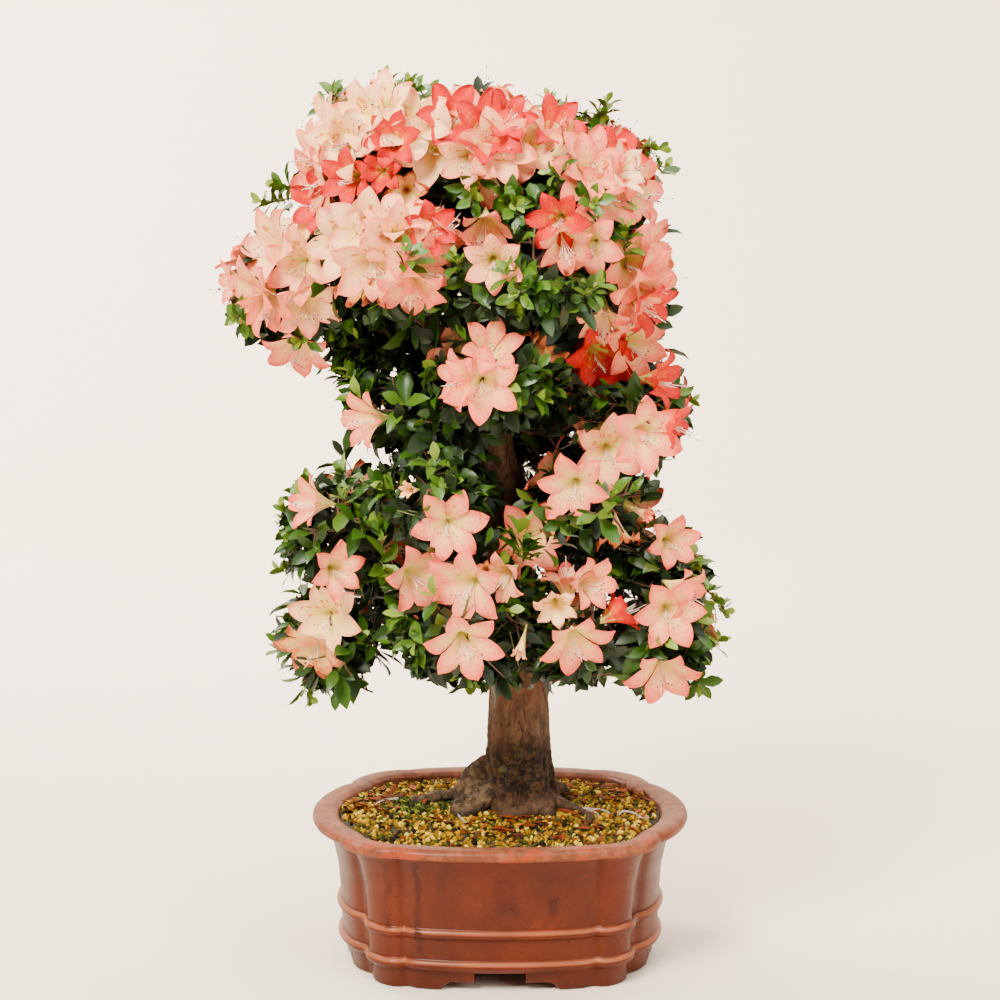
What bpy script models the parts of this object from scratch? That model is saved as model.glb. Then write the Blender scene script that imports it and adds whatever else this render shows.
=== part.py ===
# Azalea bonsai in flower, in a wide lobed pot of unglazed clay.
# Metres, +Z up. The pot stands on z = 0, with the viewer on the -Y side.

import math
import random

import bmesh
import bpy
import numpy as np
from mathutils import Vector

# The origin is under the middle of the whole plant, and the pot stands off it,
# because the crown leans out over the pot's left side.
POT_PLACE = (0.0211, -0.0113, 0.0)

# Faces that touch on the real plant keep this gap.
CLEAR = 0.0003

# Pot: rim outline of eight lobes, given by the two notches of one quarter.
FRONT_NOTCH = (0.094, 0.134)
SIDE_NOTCH = (0.152, 0.085)
FRONT_BULGE = 0.0095
CORNER_BULGE = 0.0110
SIDE_BULGE = 0.0280
FRONT_STEPS = 6
CORNER_STEPS = 4
SIDE_STEPS = 5
POT_HEIGHT = 0.1446
BODY_FOOT = 0.0172
FLOOR_TOP = 0.0332

# Pot wall from the underside, up the outside, over the rim and down inside:
# inset from the rim outline, height, and depth of the creases between lobes.
POT_PROFILE = [
    (0.0360, BODY_FOOT, 0.0050),
    (0.0300, 0.0183, 0.0050),
    (0.0258, 0.0227, 0.0050),
    (0.0250, 0.0266, 0.0050),
    (0.0260, 0.0304, 0.0050),
    (0.0276, 0.0343, 0.0050),
    (0.0272, 0.0487, 0.0050),
    (0.0248, 0.0520, 0.0050),
    (0.0240, 0.0559, 0.0050),
    (0.0250, 0.0598, 0.0050),
    (0.0264, 0.0631, 0.0050),
    (0.0240, 0.0930, 0.0050),
    (0.0196, 0.1140, 0.0050),
    (0.0140, 0.1295, 0.0050),
    (0.0100, 0.1334, 0.0050),
    (0.0018, 0.1345, 0.0035),
    (0.0000, 0.1375, 0.0035),
    (0.0006, 0.1415, 0.0035),
    (0.0045, 0.1442, 0.0030),
    (0.0110, POT_HEIGHT, 0.0015),
    (0.0200, 0.1436, 0.0),
    (0.0248, 0.1410, 0.0),
    (0.0272, 0.1360, 0.0),
    (0.0330, 0.0775, 0.0),
    (0.0400, 0.0376, 0.0),
    (0.0480, FLOOR_TOP, 0.0),
]

CREASE_WIDTH = 0.0090
CREASE_SHOULDER = 0.16

# Feet: one skirt round each corner of the pot.
FOOT_OUTER = 0.0315
FOOT_CREASE = 0.0040
FOOT_INNER = 0.0500
FOOT_TOP = 0.0240
TAB_END = 0.024
TAB_LIFT = 0.0078
NUB_PLACE = 0.056
NUB_WIDTH = 0.012
NOTCH_LIFT = 0.0022
NOTCH_LIFT_WIDTH = 0.016
SIDE_NUB_SHIFT = 0.012

# Soil: flat where the trunk and roots stand, falling to the pot's wall.
SOIL_TOP = 0.1470
SOIL_EDGE = 0.1375
SOIL_PLATEAU = (0.100, 0.066)
SOIL_FALL = 0.050
SOIL_WALL_GAP = 0.0014
SOIL_FLOOR_GAP = 0.0036
SOIL_RINGS = 4

# Trunk: centre x, y, height and radius, from the flat cut at the soil to the fork.
GROUND = SOIL_TOP + CLEAR
TRUNK_COURSE = [
    (0.0190, 0.0000, 0.1370, 0.0400),
    (0.0185, 0.0000, 0.1550, 0.0350),
    (0.0180, 0.0000, 0.1830, 0.0300),
    (0.0175, 0.0010, 0.2230, 0.0282),
    (0.0160, 0.0030, 0.2830, 0.0262),
    (0.0115, 0.0050, 0.3480, 0.0240),
    (0.0050, 0.0040, 0.4130, 0.0215),
    (-0.0030, 0.0000, 0.4780, 0.0195),
    (-0.0120, -0.0030, 0.5380, 0.0180),
    (-0.0210, -0.0020, 0.5830, 0.0168),
    (-0.0270, 0.0000, 0.6080, 0.0150),
]
TRUNK_SIDES = 14
TRUNK_RINGS = 20
TRUNK_LOBES = 5
TRUNK_LOBE_DEPTH = 0.045
TRUNK_LOBE_TURN = 4.0
FLARE_LOBE_DEPTH = 0.16
FLARE_HEIGHT = 0.050

# Roots that show on the soil: a course of x, y, height over the soil, and radius.
ROOTS = {
    "left": [
        (0.004, 0.004, 0.020, 0.0150),
        (-0.020, 0.009, 0.009, 0.0120),
        (-0.050, 0.012, 0.004, 0.0085),
        (-0.086, 0.010, -0.001, 0.0045),
    ],
    "front_left": [
        (0.004, -0.008, 0.018, 0.0150),
        (-0.012, -0.024, 0.008, 0.0115),
        (-0.030, -0.038, 0.004, 0.0085),
        (-0.047, -0.052, -0.001, 0.0045),
    ],
    "front": [
        (0.022, -0.008, 0.018, 0.0180),
        (0.029, -0.026, 0.006, 0.0130),
        (0.036, -0.040, -0.002, 0.0080),
    ],
    "right": [
        (0.034, -0.004, 0.014, 0.0130),
        (0.052, -0.012, 0.005, 0.0075),
        (0.072, -0.020, 0.003, 0.0045),
        (0.086, -0.050, -0.0005, 0.0028),
    ],
    "back_right": [
        (0.028, 0.008, 0.018, 0.0160),
        (0.046, 0.024, 0.007, 0.0110),
        (0.066, 0.040, -0.001, 0.0055),
    ],
    "back_left": [
        (0.010, 0.012, 0.018, 0.0150),
        (-0.004, 0.032, 0.006, 0.0100),
        (-0.016, 0.048, -0.001, 0.0050),
    ],
    "knob": [
        (0.002, 0.008, 0.016, 0.0150),
        (-0.013, 0.014, 0.032, 0.0120),
        (-0.020, 0.016, 0.044, 0.0060),
    ],
}
ROOT_SIDES = 6
ROOT_RINGS = 5

# Masses of foliage: centre, reach along x, y and z, core size as a share of the
# reach, share of the tips that carry a bloom, the limb that its bough leaves,
# how far along that limb, and the bough's radius at its foot.
MASSES = {
    "top_left": ((-0.104, 0.000, 0.761), (0.088, 0.100, 0.080), 0.70, 0.80, "left_wing", 0.45, 0.0070),
    "top": ((-0.016, 0.010, 0.777), (0.080, 0.110, 0.068), 0.70, 0.75, "trunk", 1.00, 0.0120),
    "top_right": ((0.074, 0.000, 0.741), (0.080, 0.106, 0.080), 0.70, 0.65, "top", 0.30, 0.0075),
    "right_shoulder": ((0.112, 0.002, 0.651), (0.062, 0.094, 0.070), 0.70, 0.85, "trunk", 0.91, 0.0095),
    "left_wing": ((-0.180, -0.010, 0.653), (0.088, 0.086, 0.074), 0.66, 0.75, "trunk", 0.950, 0.0105),
    "front_left": ((-0.092, -0.084, 0.671), (0.076, 0.068, 0.068), 0.68, 0.85, "left_wing", 0.24, 0.0062),
    "front_right": ((0.026, -0.090, 0.669), (0.082, 0.068, 0.068), 0.68, 0.30, "trunk", 0.93, 0.0078),
    "back_left": ((-0.108, 0.092, 0.665), (0.090, 0.074, 0.074), 0.72, 0.60, "trunk", 0.895, 0.0082),
    "back_right": ((0.052, 0.100, 0.659), (0.086, 0.072, 0.076), 0.72, 0.60, "trunk", 0.855, 0.0082),
    "mid_right": ((0.114, -0.005, 0.535), (0.074, 0.088, 0.072), 0.66, 0.40, "trunk", 0.78, 0.0085),
    "mid_front": ((-0.002, -0.078, 0.569), (0.072, 0.056, 0.062), 0.64, 0.30, "trunk", 0.84, 0.0065),
    "mid_left": ((-0.088, -0.014, 0.533), (0.076, 0.080, 0.062), 0.58, 0.25, "trunk", 0.76, 0.0070),
    "mid_back": ((-0.006, 0.092, 0.535), (0.098, 0.070, 0.072), 0.72, 0.30, "trunk", 0.74, 0.0080),
    "low_inner_left": ((-0.062, -0.056, 0.463), (0.064, 0.062, 0.066), 0.66, 0.12, "trunk", 0.62, 0.0070),
    "low_left": ((-0.146, -0.008, 0.419), (0.070, 0.088, 0.076), 0.68, 0.35, "trunk", 0.55, 0.0088),
    "low_left_hem": ((-0.154, -0.006, 0.305), (0.068, 0.086, 0.070), 0.62, 0.35, "low_left", 0.60, 0.0055),
    "low_front": ((-0.036, -0.092, 0.353), (0.074, 0.064, 0.076), 0.68, 0.40, "trunk", 0.44, 0.0075),
    "low_front_right": ((0.068, -0.078, 0.331), (0.064, 0.066, 0.070), 0.66, 0.35, "trunk", 0.40, 0.0070),
    "low_mid_right": ((0.084, -0.022, 0.449), (0.070, 0.088, 0.070), 0.66, 0.30, "trunk", 0.60, 0.0078),
    "low_right": ((0.144, 0.000, 0.339), (0.076, 0.096, 0.094), 0.70, 0.35, "trunk", 0.38, 0.0090),
    "low_back": ((-0.056, 0.094, 0.358), (0.100, 0.070, 0.088), 0.74, 0.30, "trunk", 0.42, 0.0085),
    "low_back_right": ((0.076, 0.100, 0.415), (0.084, 0.066, 0.084), 0.72, 0.30, "trunk", 0.56, 0.0080),
}

# Boughs.
BOUGH_SIDES = 5
BOUGH_RINGS = 5
BOUGH_TAPER = 0.55
BOUGH_DIP = 0.30
BOUGH_SWAY = 0.025
BOUGH_END = 0.004
ENTRY_DEPTH = 0.80

# Growth of a mass.
CELL_GAP = 0.035
LIMB_GAP = 0.0022
TIP_SPACING = 0.067
TIP_SHELL = 0.78
EXPOSED_FROM = 1.06
BLOOM_RISE = 0.03
BLOOM_REACH = 1.14
BRANCH_SHARE = 0.75
BRANCHES = 6
STEM_SIDES = 5
TWIG_SIDES = 3
BRANCH_RADII = (0.0034, 0.0026)
TWIG_RADII = (0.0025, 0.0020)
LEAF_LENGTH = 0.042
LEAF_WIDTH = 0.0200
LEAF_DROOP = 0.10
LEAF_TURN = math.radians(58)
LEAF_SHRINKS = (1.0, 0.82, 0.66)
BUD_HEIGHT = 0.0030
STALK_RADII = (0.0026, 0.0030)
SPRIG_SPACING = 0.030
FRONT_SHELL = 0.86
BLOOM_RADIUS = 0.031
BLOOM_NOTCH = 0.56
BLOOM_DEPTH = 0.022
BLOOM_THROAT = 0.010
BLOOM_NOTCH_RISE = 0.72
BLOOM_SHRINKS = (1.0, 0.88, 0.76)
BLOOM_SPACING = 0.048

# Blooms that stand out to the viewer: mass, x and z from the pot's centre,
# turn about the upright axis and tilt up, in degrees from facing the viewer.
SHOWN_BLOOMS = [
    ("low_inner_left", -0.045, 0.415, 8, -5),
    ("low_front", -0.083, 0.379, -30, -12),
    ("low_front", -0.030, 0.364, -5, -8),
    ("low_front", -0.032, 0.309, 5, -40),
    ("mid_front", -0.017, 0.545, -4, -6),
    ("mid_front", -0.008, 0.595, 10, 20),
    ("low_mid_right", 0.100, 0.489, 12, 0),
    ("low_mid_right", 0.062, 0.449, -14, -25),
    ("low_front_right", 0.078, 0.363, 25, -25),
    ("low_right", 0.152, 0.335, 8, -8),
    ("low_right", 0.146, 0.269, -6, -45),
    ("low_right", 0.156, 0.403, 14, 12),
    ("low_left", -0.192, 0.455, -35, 6),
    ("low_left_hem", -0.166, 0.343, -12, 4),
    ("front_left", -0.150, 0.669, -14, 10),
    ("front_left", -0.112, 0.701, 4, 12),
    ("front_left", -0.074, 0.661, 8, -30),
]

CLAY = (0.330, 0.115, 0.060, 1.0)
SOIL = (0.480, 0.330, 0.110, 1.0)
BARK = (0.190, 0.140, 0.105, 1.0)
FOLIAGE = (0.075, 0.160, 0.040, 1.0)


def remove_everything():
    for thing in list(bpy.data.objects):
        bpy.data.objects.remove(thing, do_unlink=True)


def make_material(name, colour, roughness):
    material = bpy.data.materials.new(name)
    material.use_nodes = True
    shader = material.node_tree.nodes["Principled BSDF"]
    shader.inputs["Base Color"].default_value = colour
    shader.inputs["Roughness"].default_value = roughness
    shader.inputs["Metallic"].default_value = 0.0
    return material


def make_mesh(name, vertices, faces):
    mesh = bpy.data.meshes.new(name)
    mesh.from_pydata([tuple(v) for v in vertices], [], faces)
    mesh.update()
    return mesh


def face_outward(mesh):
    """Turn every face of a closed mesh outward."""
    work = bmesh.new()
    work.from_mesh(mesh)
    bmesh.ops.recalc_face_normals(work, faces=work.faces)
    work.to_mesh(mesh)
    work.free()


def add_piece(name, mesh, material, parent):
    """Place a mesh under the plant's empty, as one named piece."""
    piece = bpy.data.objects.new(name, mesh)
    bpy.context.scene.collection.objects.link(piece)
    piece.parent = parent
    mesh.materials.clear()
    mesh.materials.append(material)
    mesh.shade_smooth()
    mesh.set_sharp_from_angle(angle=math.radians(40))
    return piece


def is_closed(mesh):
    work = bmesh.new()
    work.from_mesh(mesh)
    closed = all(e.is_manifold for e in work.edges) and all(v.is_manifold for v in work.verts)
    work.free()
    return closed


def combine(name, first, others, operation):
    """Join closed meshes to the first, or cut them from it, in one Boolean.

    The EXACT solver comes first, and MANIFOLD where its result isn't closed."""
    group = bpy.data.collections.new(name + "_parts")
    bpy.context.scene.collection.children.link(group)
    for index, mesh in enumerate(others):
        group.objects.link(bpy.data.objects.new(f"{name}_part_{index}", mesh))
    body = bpy.data.objects.new(name + "_work", first)
    bpy.context.scene.collection.objects.link(body)
    boolean = body.modifiers.new("combine", "BOOLEAN")
    boolean.operation = operation
    boolean.operand_type = "COLLECTION"
    boolean.collection = group
    for solver in ("EXACT", "MANIFOLD"):
        boolean.solver = solver
        bpy.context.view_layer.update()
        depsgraph = bpy.context.evaluated_depsgraph_get()
        result = bpy.data.meshes.new_from_object(body.evaluated_get(depsgraph))
        if is_closed(result):
            break
    for piece in list(group.objects):
        bpy.data.objects.remove(piece, do_unlink=True)
    bpy.data.objects.remove(body, do_unlink=True)
    bpy.data.collections.remove(group)
    result.name = name
    return result


def keep_outer_body(mesh):
    """Drop loose scraps and sealed hollows: only the widest shell stays."""
    work = bmesh.new()
    work.from_mesh(mesh)
    work.faces.ensure_lookup_table()
    unseen = set(work.verts)
    shells = []
    while unseen:
        seed = unseen.pop()
        shell = {seed}
        front = [seed]
        while front:
            vertex = front.pop()
            for edge in vertex.link_edges:
                other = edge.other_vert(vertex)
                if other not in shell:
                    shell.add(other)
                    front.append(other)
        unseen -= shell
        shells.append(shell)
    keep = max(shells, key=shell_width)
    scraps = [v for v in work.verts if v not in keep]
    bmesh.ops.delete(work, geom=scraps, context="VERTS")
    work.to_mesh(mesh)
    work.free()


def shell_width(shell):
    places = np.array([v.co for v in shell])
    return float(np.linalg.norm(places.max(axis=0) - places.min(axis=0)))


# Lines and tubes

def unit(vector):
    vector = np.asarray(vector, dtype=float)
    return vector / max(np.linalg.norm(vector), 1e-12)


def smooth_through(knots, count):
    """Points on a smooth curve that passes through every knot."""
    knots = np.array(knots, dtype=float)
    padded = np.vstack([2 * knots[0] - knots[1], knots, 2 * knots[-1] - knots[-2]])
    places = np.linspace(0, len(knots) - 1, count)
    result = []
    for place in places:
        span = min(int(place), len(knots) - 2)
        t = place - span
        a, b, c, d = padded[span:span + 4]
        result.append(0.5 * (2 * b + (c - a) * t + (2 * a - 5 * b + 4 * c - d) * t ** 2
                             + (3 * b - a - 3 * c + d) * t ** 3))
    return np.array(result)


def bezier(start, bend, end, count):
    t = np.linspace(0, 1, count)[:, None]
    return (1 - t) ** 2 * start + 2 * t * (1 - t) * bend + t ** 2 * end


def side_vectors(path):
    """Two vectors across the path at each point, carried along it without twist."""
    along = np.gradient(path, axis=0)
    along = along / np.linalg.norm(along, axis=1)[:, None]
    guide = np.array((0.0, 1.0, 0.0)) if abs(along[0][1]) < 0.9 else np.array((1.0, 0.0, 0.0))
    first = []
    for direction in along:
        guide = unit(guide - direction * np.dot(guide, direction))
        first.append(guide)
    first = np.array(first)
    return first, np.cross(along, first)


def tube(name, path, radii, sides, roll=0.0, swell=None):
    """A closed tube; swell(ring, angle) scales its radius."""
    path = np.asarray(path, dtype=float)
    first, second = side_vectors(path)
    vertices = []
    for ring, centre in enumerate(path):
        for side in range(sides):
            angle = roll + 2 * math.pi * side / sides
            radius = radii[ring]
            if swell is not None:
                radius = radius * swell(ring, angle)
            vertices.append(centre + radius * (math.cos(angle) * first[ring]
                                               + math.sin(angle) * second[ring]))
    faces = []
    for ring in range(len(path) - 1):
        low = ring * sides
        high = low + sides
        for side in range(sides):
            after = (side + 1) % sides
            faces.append((low + side, low + after, high + after, high + side))
    last = (len(path) - 1) * sides
    faces.append(tuple(reversed(range(sides))))
    faces.append(tuple(range(last, last + sides)))
    mesh = make_mesh(name, vertices, faces)
    face_outward(mesh)
    return mesh


# Pot and soil

def lobe(start, end, bulge, steps):
    """Points from start up to the one before end, on an arc that bulges outward."""
    start = np.array(start)
    end = np.array(end)
    chord = end - start
    half = np.linalg.norm(chord) / 2
    along = chord / (2 * half)
    outward = np.array((along[1], -along[0]))
    radius = (half ** 2 + bulge ** 2) / (2 * bulge)
    centre = (start + end) / 2 - outward * (radius - bulge)
    spread = math.asin(half / radius)
    shares = np.arange(steps) / steps
    shares[1] = CREASE_SHOULDER * 2 / steps
    shares[-1] = 1 - shares[1]
    angles = spread * (2 * shares - 1)
    return [centre + radius * (math.cos(a) * outward + math.sin(a) * along) for a in angles]


def rim_outline():
    """The rim's outline from above, anticlockwise from the front lobe's left notch."""
    a, b = FRONT_NOTCH
    c, d = SIDE_NOTCH
    points = lobe((-a, -b), (a, -b), FRONT_BULGE, FRONT_STEPS)
    points += lobe((a, -b), (c, -d), CORNER_BULGE, CORNER_STEPS)
    points += lobe((c, -d), (c, d), SIDE_BULGE, SIDE_STEPS)
    points += lobe((c, d), (a, b), CORNER_BULGE, CORNER_STEPS)
    points += lobe((a, b), (-a, b), FRONT_BULGE, FRONT_STEPS)
    points += lobe((-a, b), (-c, d), CORNER_BULGE, CORNER_STEPS)
    points += lobe((-c, d), (-c, -d), SIDE_BULGE, SIDE_STEPS)
    points += lobe((-c, -d), (-a, -b), CORNER_BULGE, CORNER_STEPS)
    return np.array(points)


def crease_shares():
    """How far each point of the outline is drawn into the crease between two lobes:
    1 in the crease, and falling fast beside it."""
    outline = rim_outline()
    notches = [np.array((x * i, y * j)) for x, y in (FRONT_NOTCH, SIDE_NOTCH)
               for i in (1, -1) for j in (1, -1)]
    gaps = np.array([[np.linalg.norm(point - notch) for notch in notches] for point in outline])
    return np.exp(-gaps.min(axis=1) / CREASE_WIDTH)


def inset(outline, depth):
    along = np.roll(outline, -1, axis=0) - np.roll(outline, 1, axis=0)
    along = along / np.linalg.norm(along, axis=1)[:, None]
    outward = np.stack([along[:, 1], -along[:, 0]], axis=1)
    return outline - outward * np.reshape(depth, (-1, 1))


def stacked_rings(name, rings):
    """A closed skin over rings of equal length, with a fan at each end."""
    count = len(rings[0])
    vertices = [point for ring in rings for point in ring]
    faces = []
    for level in range(len(rings) - 1):
        low = level * count
        high = low + count
        for k in range(count):
            after = (k + 1) % count
            faces.append((low + k, low + after, high + after, high + k))
    for level in (0, len(rings) - 1):
        hub = len(vertices)
        vertices.append(np.mean(rings[level], axis=0))
        for k in range(count):
            faces.append((level * count + k, level * count + (k + 1) % count, hub))
    mesh = make_mesh(name, vertices, faces)
    face_outward(mesh)
    return mesh


def with_height(outline, height):
    return np.column_stack([outline, np.full(len(outline), height)])


def foot_lift(place, notch):
    """Height of the skirt's lower edge, for a distance from the lobe's middle."""
    if place >= NUB_PLACE:
        near_notch = max(0.0, 1 - abs(place - notch) / NOTCH_LIFT_WIDTH)
        return NOTCH_LIFT * near_notch
    step = min(1.0, (NUB_PLACE - place) / NUB_WIDTH)
    return TAB_LIFT * math.sin(step * math.pi / 2)


def foot_mesh(name, mirror_x, mirror_y):
    """The skirt round one corner, with a nub and a tab at each end."""
    outline = rim_outline()
    outer = inset(outline, FOOT_OUTER + FOOT_CREASE * crease_shares())
    inner = inset(outline, FOOT_INNER)
    first = FRONT_STEPS // 2
    last = FRONT_STEPS + CORNER_STEPS + SIDE_STEPS // 2
    stations = []
    for k in np.arange(first, last + 0.01, 0.5):
        low = int(math.floor(k))
        share = k - low
        out = outer[low] * (1 - share) + outer[low + 1] * share
        into = inner[low] * (1 - share) + inner[low + 1] * share
        on_front = k < FRONT_STEPS
        on_side = k > FRONT_STEPS + CORNER_STEPS
        lift = 0.0
        if on_front:
            lift = foot_lift(out[0], FRONT_NOTCH[0])
        if on_side:
            lift = foot_lift(-out[1] + SIDE_NUB_SHIFT, FRONT_NOTCH[0])
        past_tab = (on_front and out[0] < TAB_END) or (on_side and -out[1] < TAB_END)
        if not past_tab:
            stations.append((out, into, lift))
    vertices = []
    for out, into, lift in stations:
        vertices.append((out[0] * mirror_x, out[1] * mirror_y, lift))
        vertices.append((out[0] * mirror_x, out[1] * mirror_y, FOOT_TOP))
        vertices.append((into[0] * mirror_x, into[1] * mirror_y, FOOT_TOP))
        vertices.append((into[0] * mirror_x, into[1] * mirror_y, lift))
    faces = []
    for k in range(len(stations) - 1):
        for corner in range(4):
            after = (corner + 1) % 4
            faces.append((4 * k + corner, 4 * k + after, 4 * k + 4 + after, 4 * k + 4 + corner))
    end = 4 * (len(stations) - 1)
    faces.append((0, 1, 2, 3))
    faces.append((end, end + 1, end + 2, end + 3))
    mesh = make_mesh(name, vertices, faces)
    face_outward(mesh)
    return mesh


def pot_mesh():
    outline = rim_outline()
    shares = crease_shares()
    rings = []
    for depth, height, crease in POT_PROFILE:
        rings.append(with_height(inset(outline, depth + crease * shares), height))
    body = stacked_rings("pot_body", rings)
    feet = []
    for mirror_x in (1, -1):
        for mirror_y in (1, -1):
            feet.append(foot_mesh("pot_foot", mirror_x, mirror_y))
    return combine("pot", body, feet, "UNION")


def soil_height(x, y):
    """Flat under the trunk and roots, then an even fall to the pot's wall."""
    out = math.hypot(x / SOIL_PLATEAU[0], y / SOIL_PLATEAU[1])
    past = max(0.0, out - 1.0) * min(SOIL_PLATEAU) / SOIL_FALL
    return SOIL_TOP - (SOIL_TOP - SOIL_EDGE) * min(1.0, past) ** 1.5


def wall_inset(height):
    """The pot's inside wall at a height, as an inset from the rim outline."""
    inside = POT_PROFILE[-5:]
    heights = [height for _, height, _ in reversed(inside)]
    depths = [depth for depth, _, _ in reversed(inside)]
    return float(np.interp(height, heights, depths))


def soil_mesh():
    outline = rim_outline()
    rings = []
    for height in (FLOOR_TOP + CLEAR, POT_PROFILE[-2][1]):
        rings.append(with_height(inset(outline, wall_inset(height) + SOIL_FLOOR_GAP), height))
    middle = POT_PROFILE[-3][1]
    rings.append(with_height(inset(outline, wall_inset(middle) + SOIL_WALL_GAP), middle))
    edge = inset(outline, wall_inset(SOIL_EDGE) + SOIL_WALL_GAP)
    for ring in range(SOIL_RINGS):
        points = edge * (1 - ring / SOIL_RINGS)
        rings.append(np.array([(x, y, soil_height(x, y)) for x, y in points]))
    return stacked_rings("soil", rings)


# Trunk and roots

def trunk_course(count=TRUNK_RINGS):
    return smooth_through(TRUNK_COURSE, count)


def trunk_mesh(name, grow=0.0):
    """The trunk's bare stem, grown all round by a margin for use as a cutter."""
    course = trunk_course()
    path = course[:, :3].copy()
    radii = course[:, 3] + grow
    path[-1] += unit(path[-1] - path[-2]) * grow

    def swell(ring, angle):
        above = max(0.0, path[ring][2] - GROUND)
        flare = max(0.0, 1 - above / FLARE_HEIGHT)
        depth = TRUNK_LOBE_DEPTH + FLARE_LOBE_DEPTH * flare ** 2
        return 1 + depth * math.cos(TRUNK_LOBES * angle + TRUNK_LOBE_TURN * above)

    return tube(name, path, radii, TRUNK_SIDES, swell=swell)


def root_mesh(name, course):
    knots = smooth_through(course, ROOT_RINGS)
    path = knots[:, :3] + np.array((0.0, 0.0, SOIL_TOP))
    return tube("root_" + name, path, knots[:, 3], ROOT_SIDES, roll=0.3)


def cut_flat(mesh, height):
    """Cut away what is below a height and close the cut."""
    work = bmesh.new()
    work.from_mesh(mesh)
    everything = list(work.verts) + list(work.edges) + list(work.faces)
    bmesh.ops.bisect_plane(work, geom=everything, dist=1e-7, plane_co=(0, 0, height),
                           plane_no=(0, 0, 1), clear_inner=True)
    rim = [edge for edge in work.edges if edge.is_boundary]
    bmesh.ops.contextual_create(work, geom=rim)
    bmesh.ops.recalc_face_normals(work, faces=work.faces)
    work.to_mesh(mesh)
    work.free()


def whole_trunk():
    roots = [root_mesh(name, course) for name, course in ROOTS.items()]
    mesh = combine("trunk", trunk_mesh("trunk_stem"), roots, "UNION")
    cut_flat(mesh, GROUND)
    keep_outer_body(mesh)
    return mesh


# Spaces of the masses

def space_value(name, points):
    """0 at the mass's centre and 1 on its outer reach."""
    centre, reach = MASSES[name][0], MASSES[name][1]
    return np.linalg.norm((points - np.array(centre)) / np.array(reach), axis=1)


def in_own_space(name, points, reach=1.0, gap=CELL_GAP):
    own = space_value(name, points)
    if own.max() > reach:
        return False
    for other in MASSES:
        if other != name and (own + gap > space_value(other, points)).any():
            return False
    return True


def limb_gap(points, limbs):
    """The least distance from the points to the surface of any limb."""
    least = 1.0
    for path, radii in limbs.values():
        for k in range(len(path) - 1):
            along = path[k + 1] - path[k]
            share = np.clip((points - path[k]) @ along / (along @ along), 0, 1)
            nearest = path[k] + share[:, None] * along
            radius = radii[k] + share * (radii[k + 1] - radii[k])
            least = min(least, float((np.linalg.norm(points - nearest, axis=1) - radius).min()))
    return least


def between(start, end, steps=4):
    """Points from start up to the one before end."""
    return [start + (end - start) * k / steps for k in range(steps)]


def over_triangle(a, b, c, steps=5):
    """Points spread evenly over a triangle, with its edges and corners."""
    points = []
    for i in range(steps + 1):
        for j in range(steps + 1 - i):
            points.append((a * i + b * j + c * (steps - i - j)) / steps)
    return points


def fits(name, points, limbs, reach=1.0):
    points = np.array(points)
    return in_own_space(name, points, reach) and limb_gap(points, limbs) > LIMB_GAP


# Boughs

def place_along(path, share):
    where = share * (len(path) - 1)
    low = min(int(where), len(path) - 2)
    return path[low] + (path[low + 1] - path[low]) * (where - low)


def bough_course(name, limbs):
    """Centre line and radii of the bough that carries a mass."""
    centre, _, _, _, parent, share, foot_radius = MASSES[name]
    hub = np.array(centre)
    start = place_along(limbs[parent][0], share)
    length = np.linalg.norm(hub - start)
    from_below = start - np.array((0.0, 0.0, BOUGH_DIP * length))
    inward = unit(from_below - hub)
    entry = hub
    while in_own_space(name, (entry + inward * 0.002)[None, :], ENTRY_DEPTH):
        entry = entry + inward * 0.002
    bend = entry + inward * 0.40 * np.linalg.norm(entry - start)
    path = bezier(start, bend, entry + inward * BOUGH_END, BOUGH_RINGS)
    chance = random.Random(name + " bough")
    sway = unit(np.cross(entry - start, (0.0, 0.0, 1.0))) * BOUGH_SWAY * length
    turn = chance.choice((-1.0, 1.0))
    for k in range(1, BOUGH_RINGS - 1):
        share = k / (BOUGH_RINGS - 1)
        path[k] += sway * turn * math.sin(2 * math.pi * share)
    path = np.vstack([path, entry])
    radii = foot_radius * (1 - (1 - BOUGH_TAPER) * np.linspace(0, 1, len(path)))
    return path, radii


def all_limbs():
    course = trunk_course()
    limbs = {"trunk": (course[:, :3], course[:, 3] * 1.05)}
    waiting = list(MASSES)
    while waiting:
        name = waiting.pop(0)
        if MASSES[name][4] in limbs:
            limbs[name] = bough_course(name, limbs)
        else:
            waiting.append(name)
    return limbs


def bough_mesh(name, limbs):
    """One tapering limb, its foot cut clear of the limb that it leaves."""
    path, radii = limbs[name]
    parent = MASSES[name][4]
    limb = tube("bough_" + name, path, radii, BOUGH_SIDES, roll=0.2)
    if parent == "trunk":
        cutter = trunk_mesh("trunk_cutter", grow=CLEAR)
    else:
        parent_path, parent_radii = limbs[parent]
        cutter = tube("bough_cutter", parent_path, parent_radii + CLEAR, BOUGH_SIDES, roll=0.2)
    mesh = combine("bough_" + name, limb, [cutter], "DIFFERENCE")
    keep_outer_body(mesh)
    return mesh


# Twigs, leaves and blooms

def across_axis(axis):
    """Two directions square to an axis."""
    first = unit(np.cross(axis, (0.21, 0.37, 0.90)))
    return first, np.cross(axis, first)


def triangle_round(centre, axis, radius, roll):
    first, second = across_axis(axis)
    angles = [roll + 2 * math.pi * k / 3 for k in range(3)]
    return [centre + radius * (math.cos(a) * first + math.sin(a) * second) for a in angles]


def leaf_outline(tip, axis, angle, turn, size):
    """Left shoulder, point and right shoulder of a leaf that leaves the tip."""
    first, second = across_axis(axis)
    outward = math.cos(angle) * first + math.sin(angle) * second
    along = math.cos(turn) * axis + math.sin(turn) * outward
    side = unit(np.cross(axis, outward))
    length = LEAF_LENGTH * size
    half = LEAF_WIDTH * size / 2
    widest = tip + along * length * 0.48
    point = tip + along * length - axis * length * LEAF_DROOP
    return widest - side * half, point, widest + side * half


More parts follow.
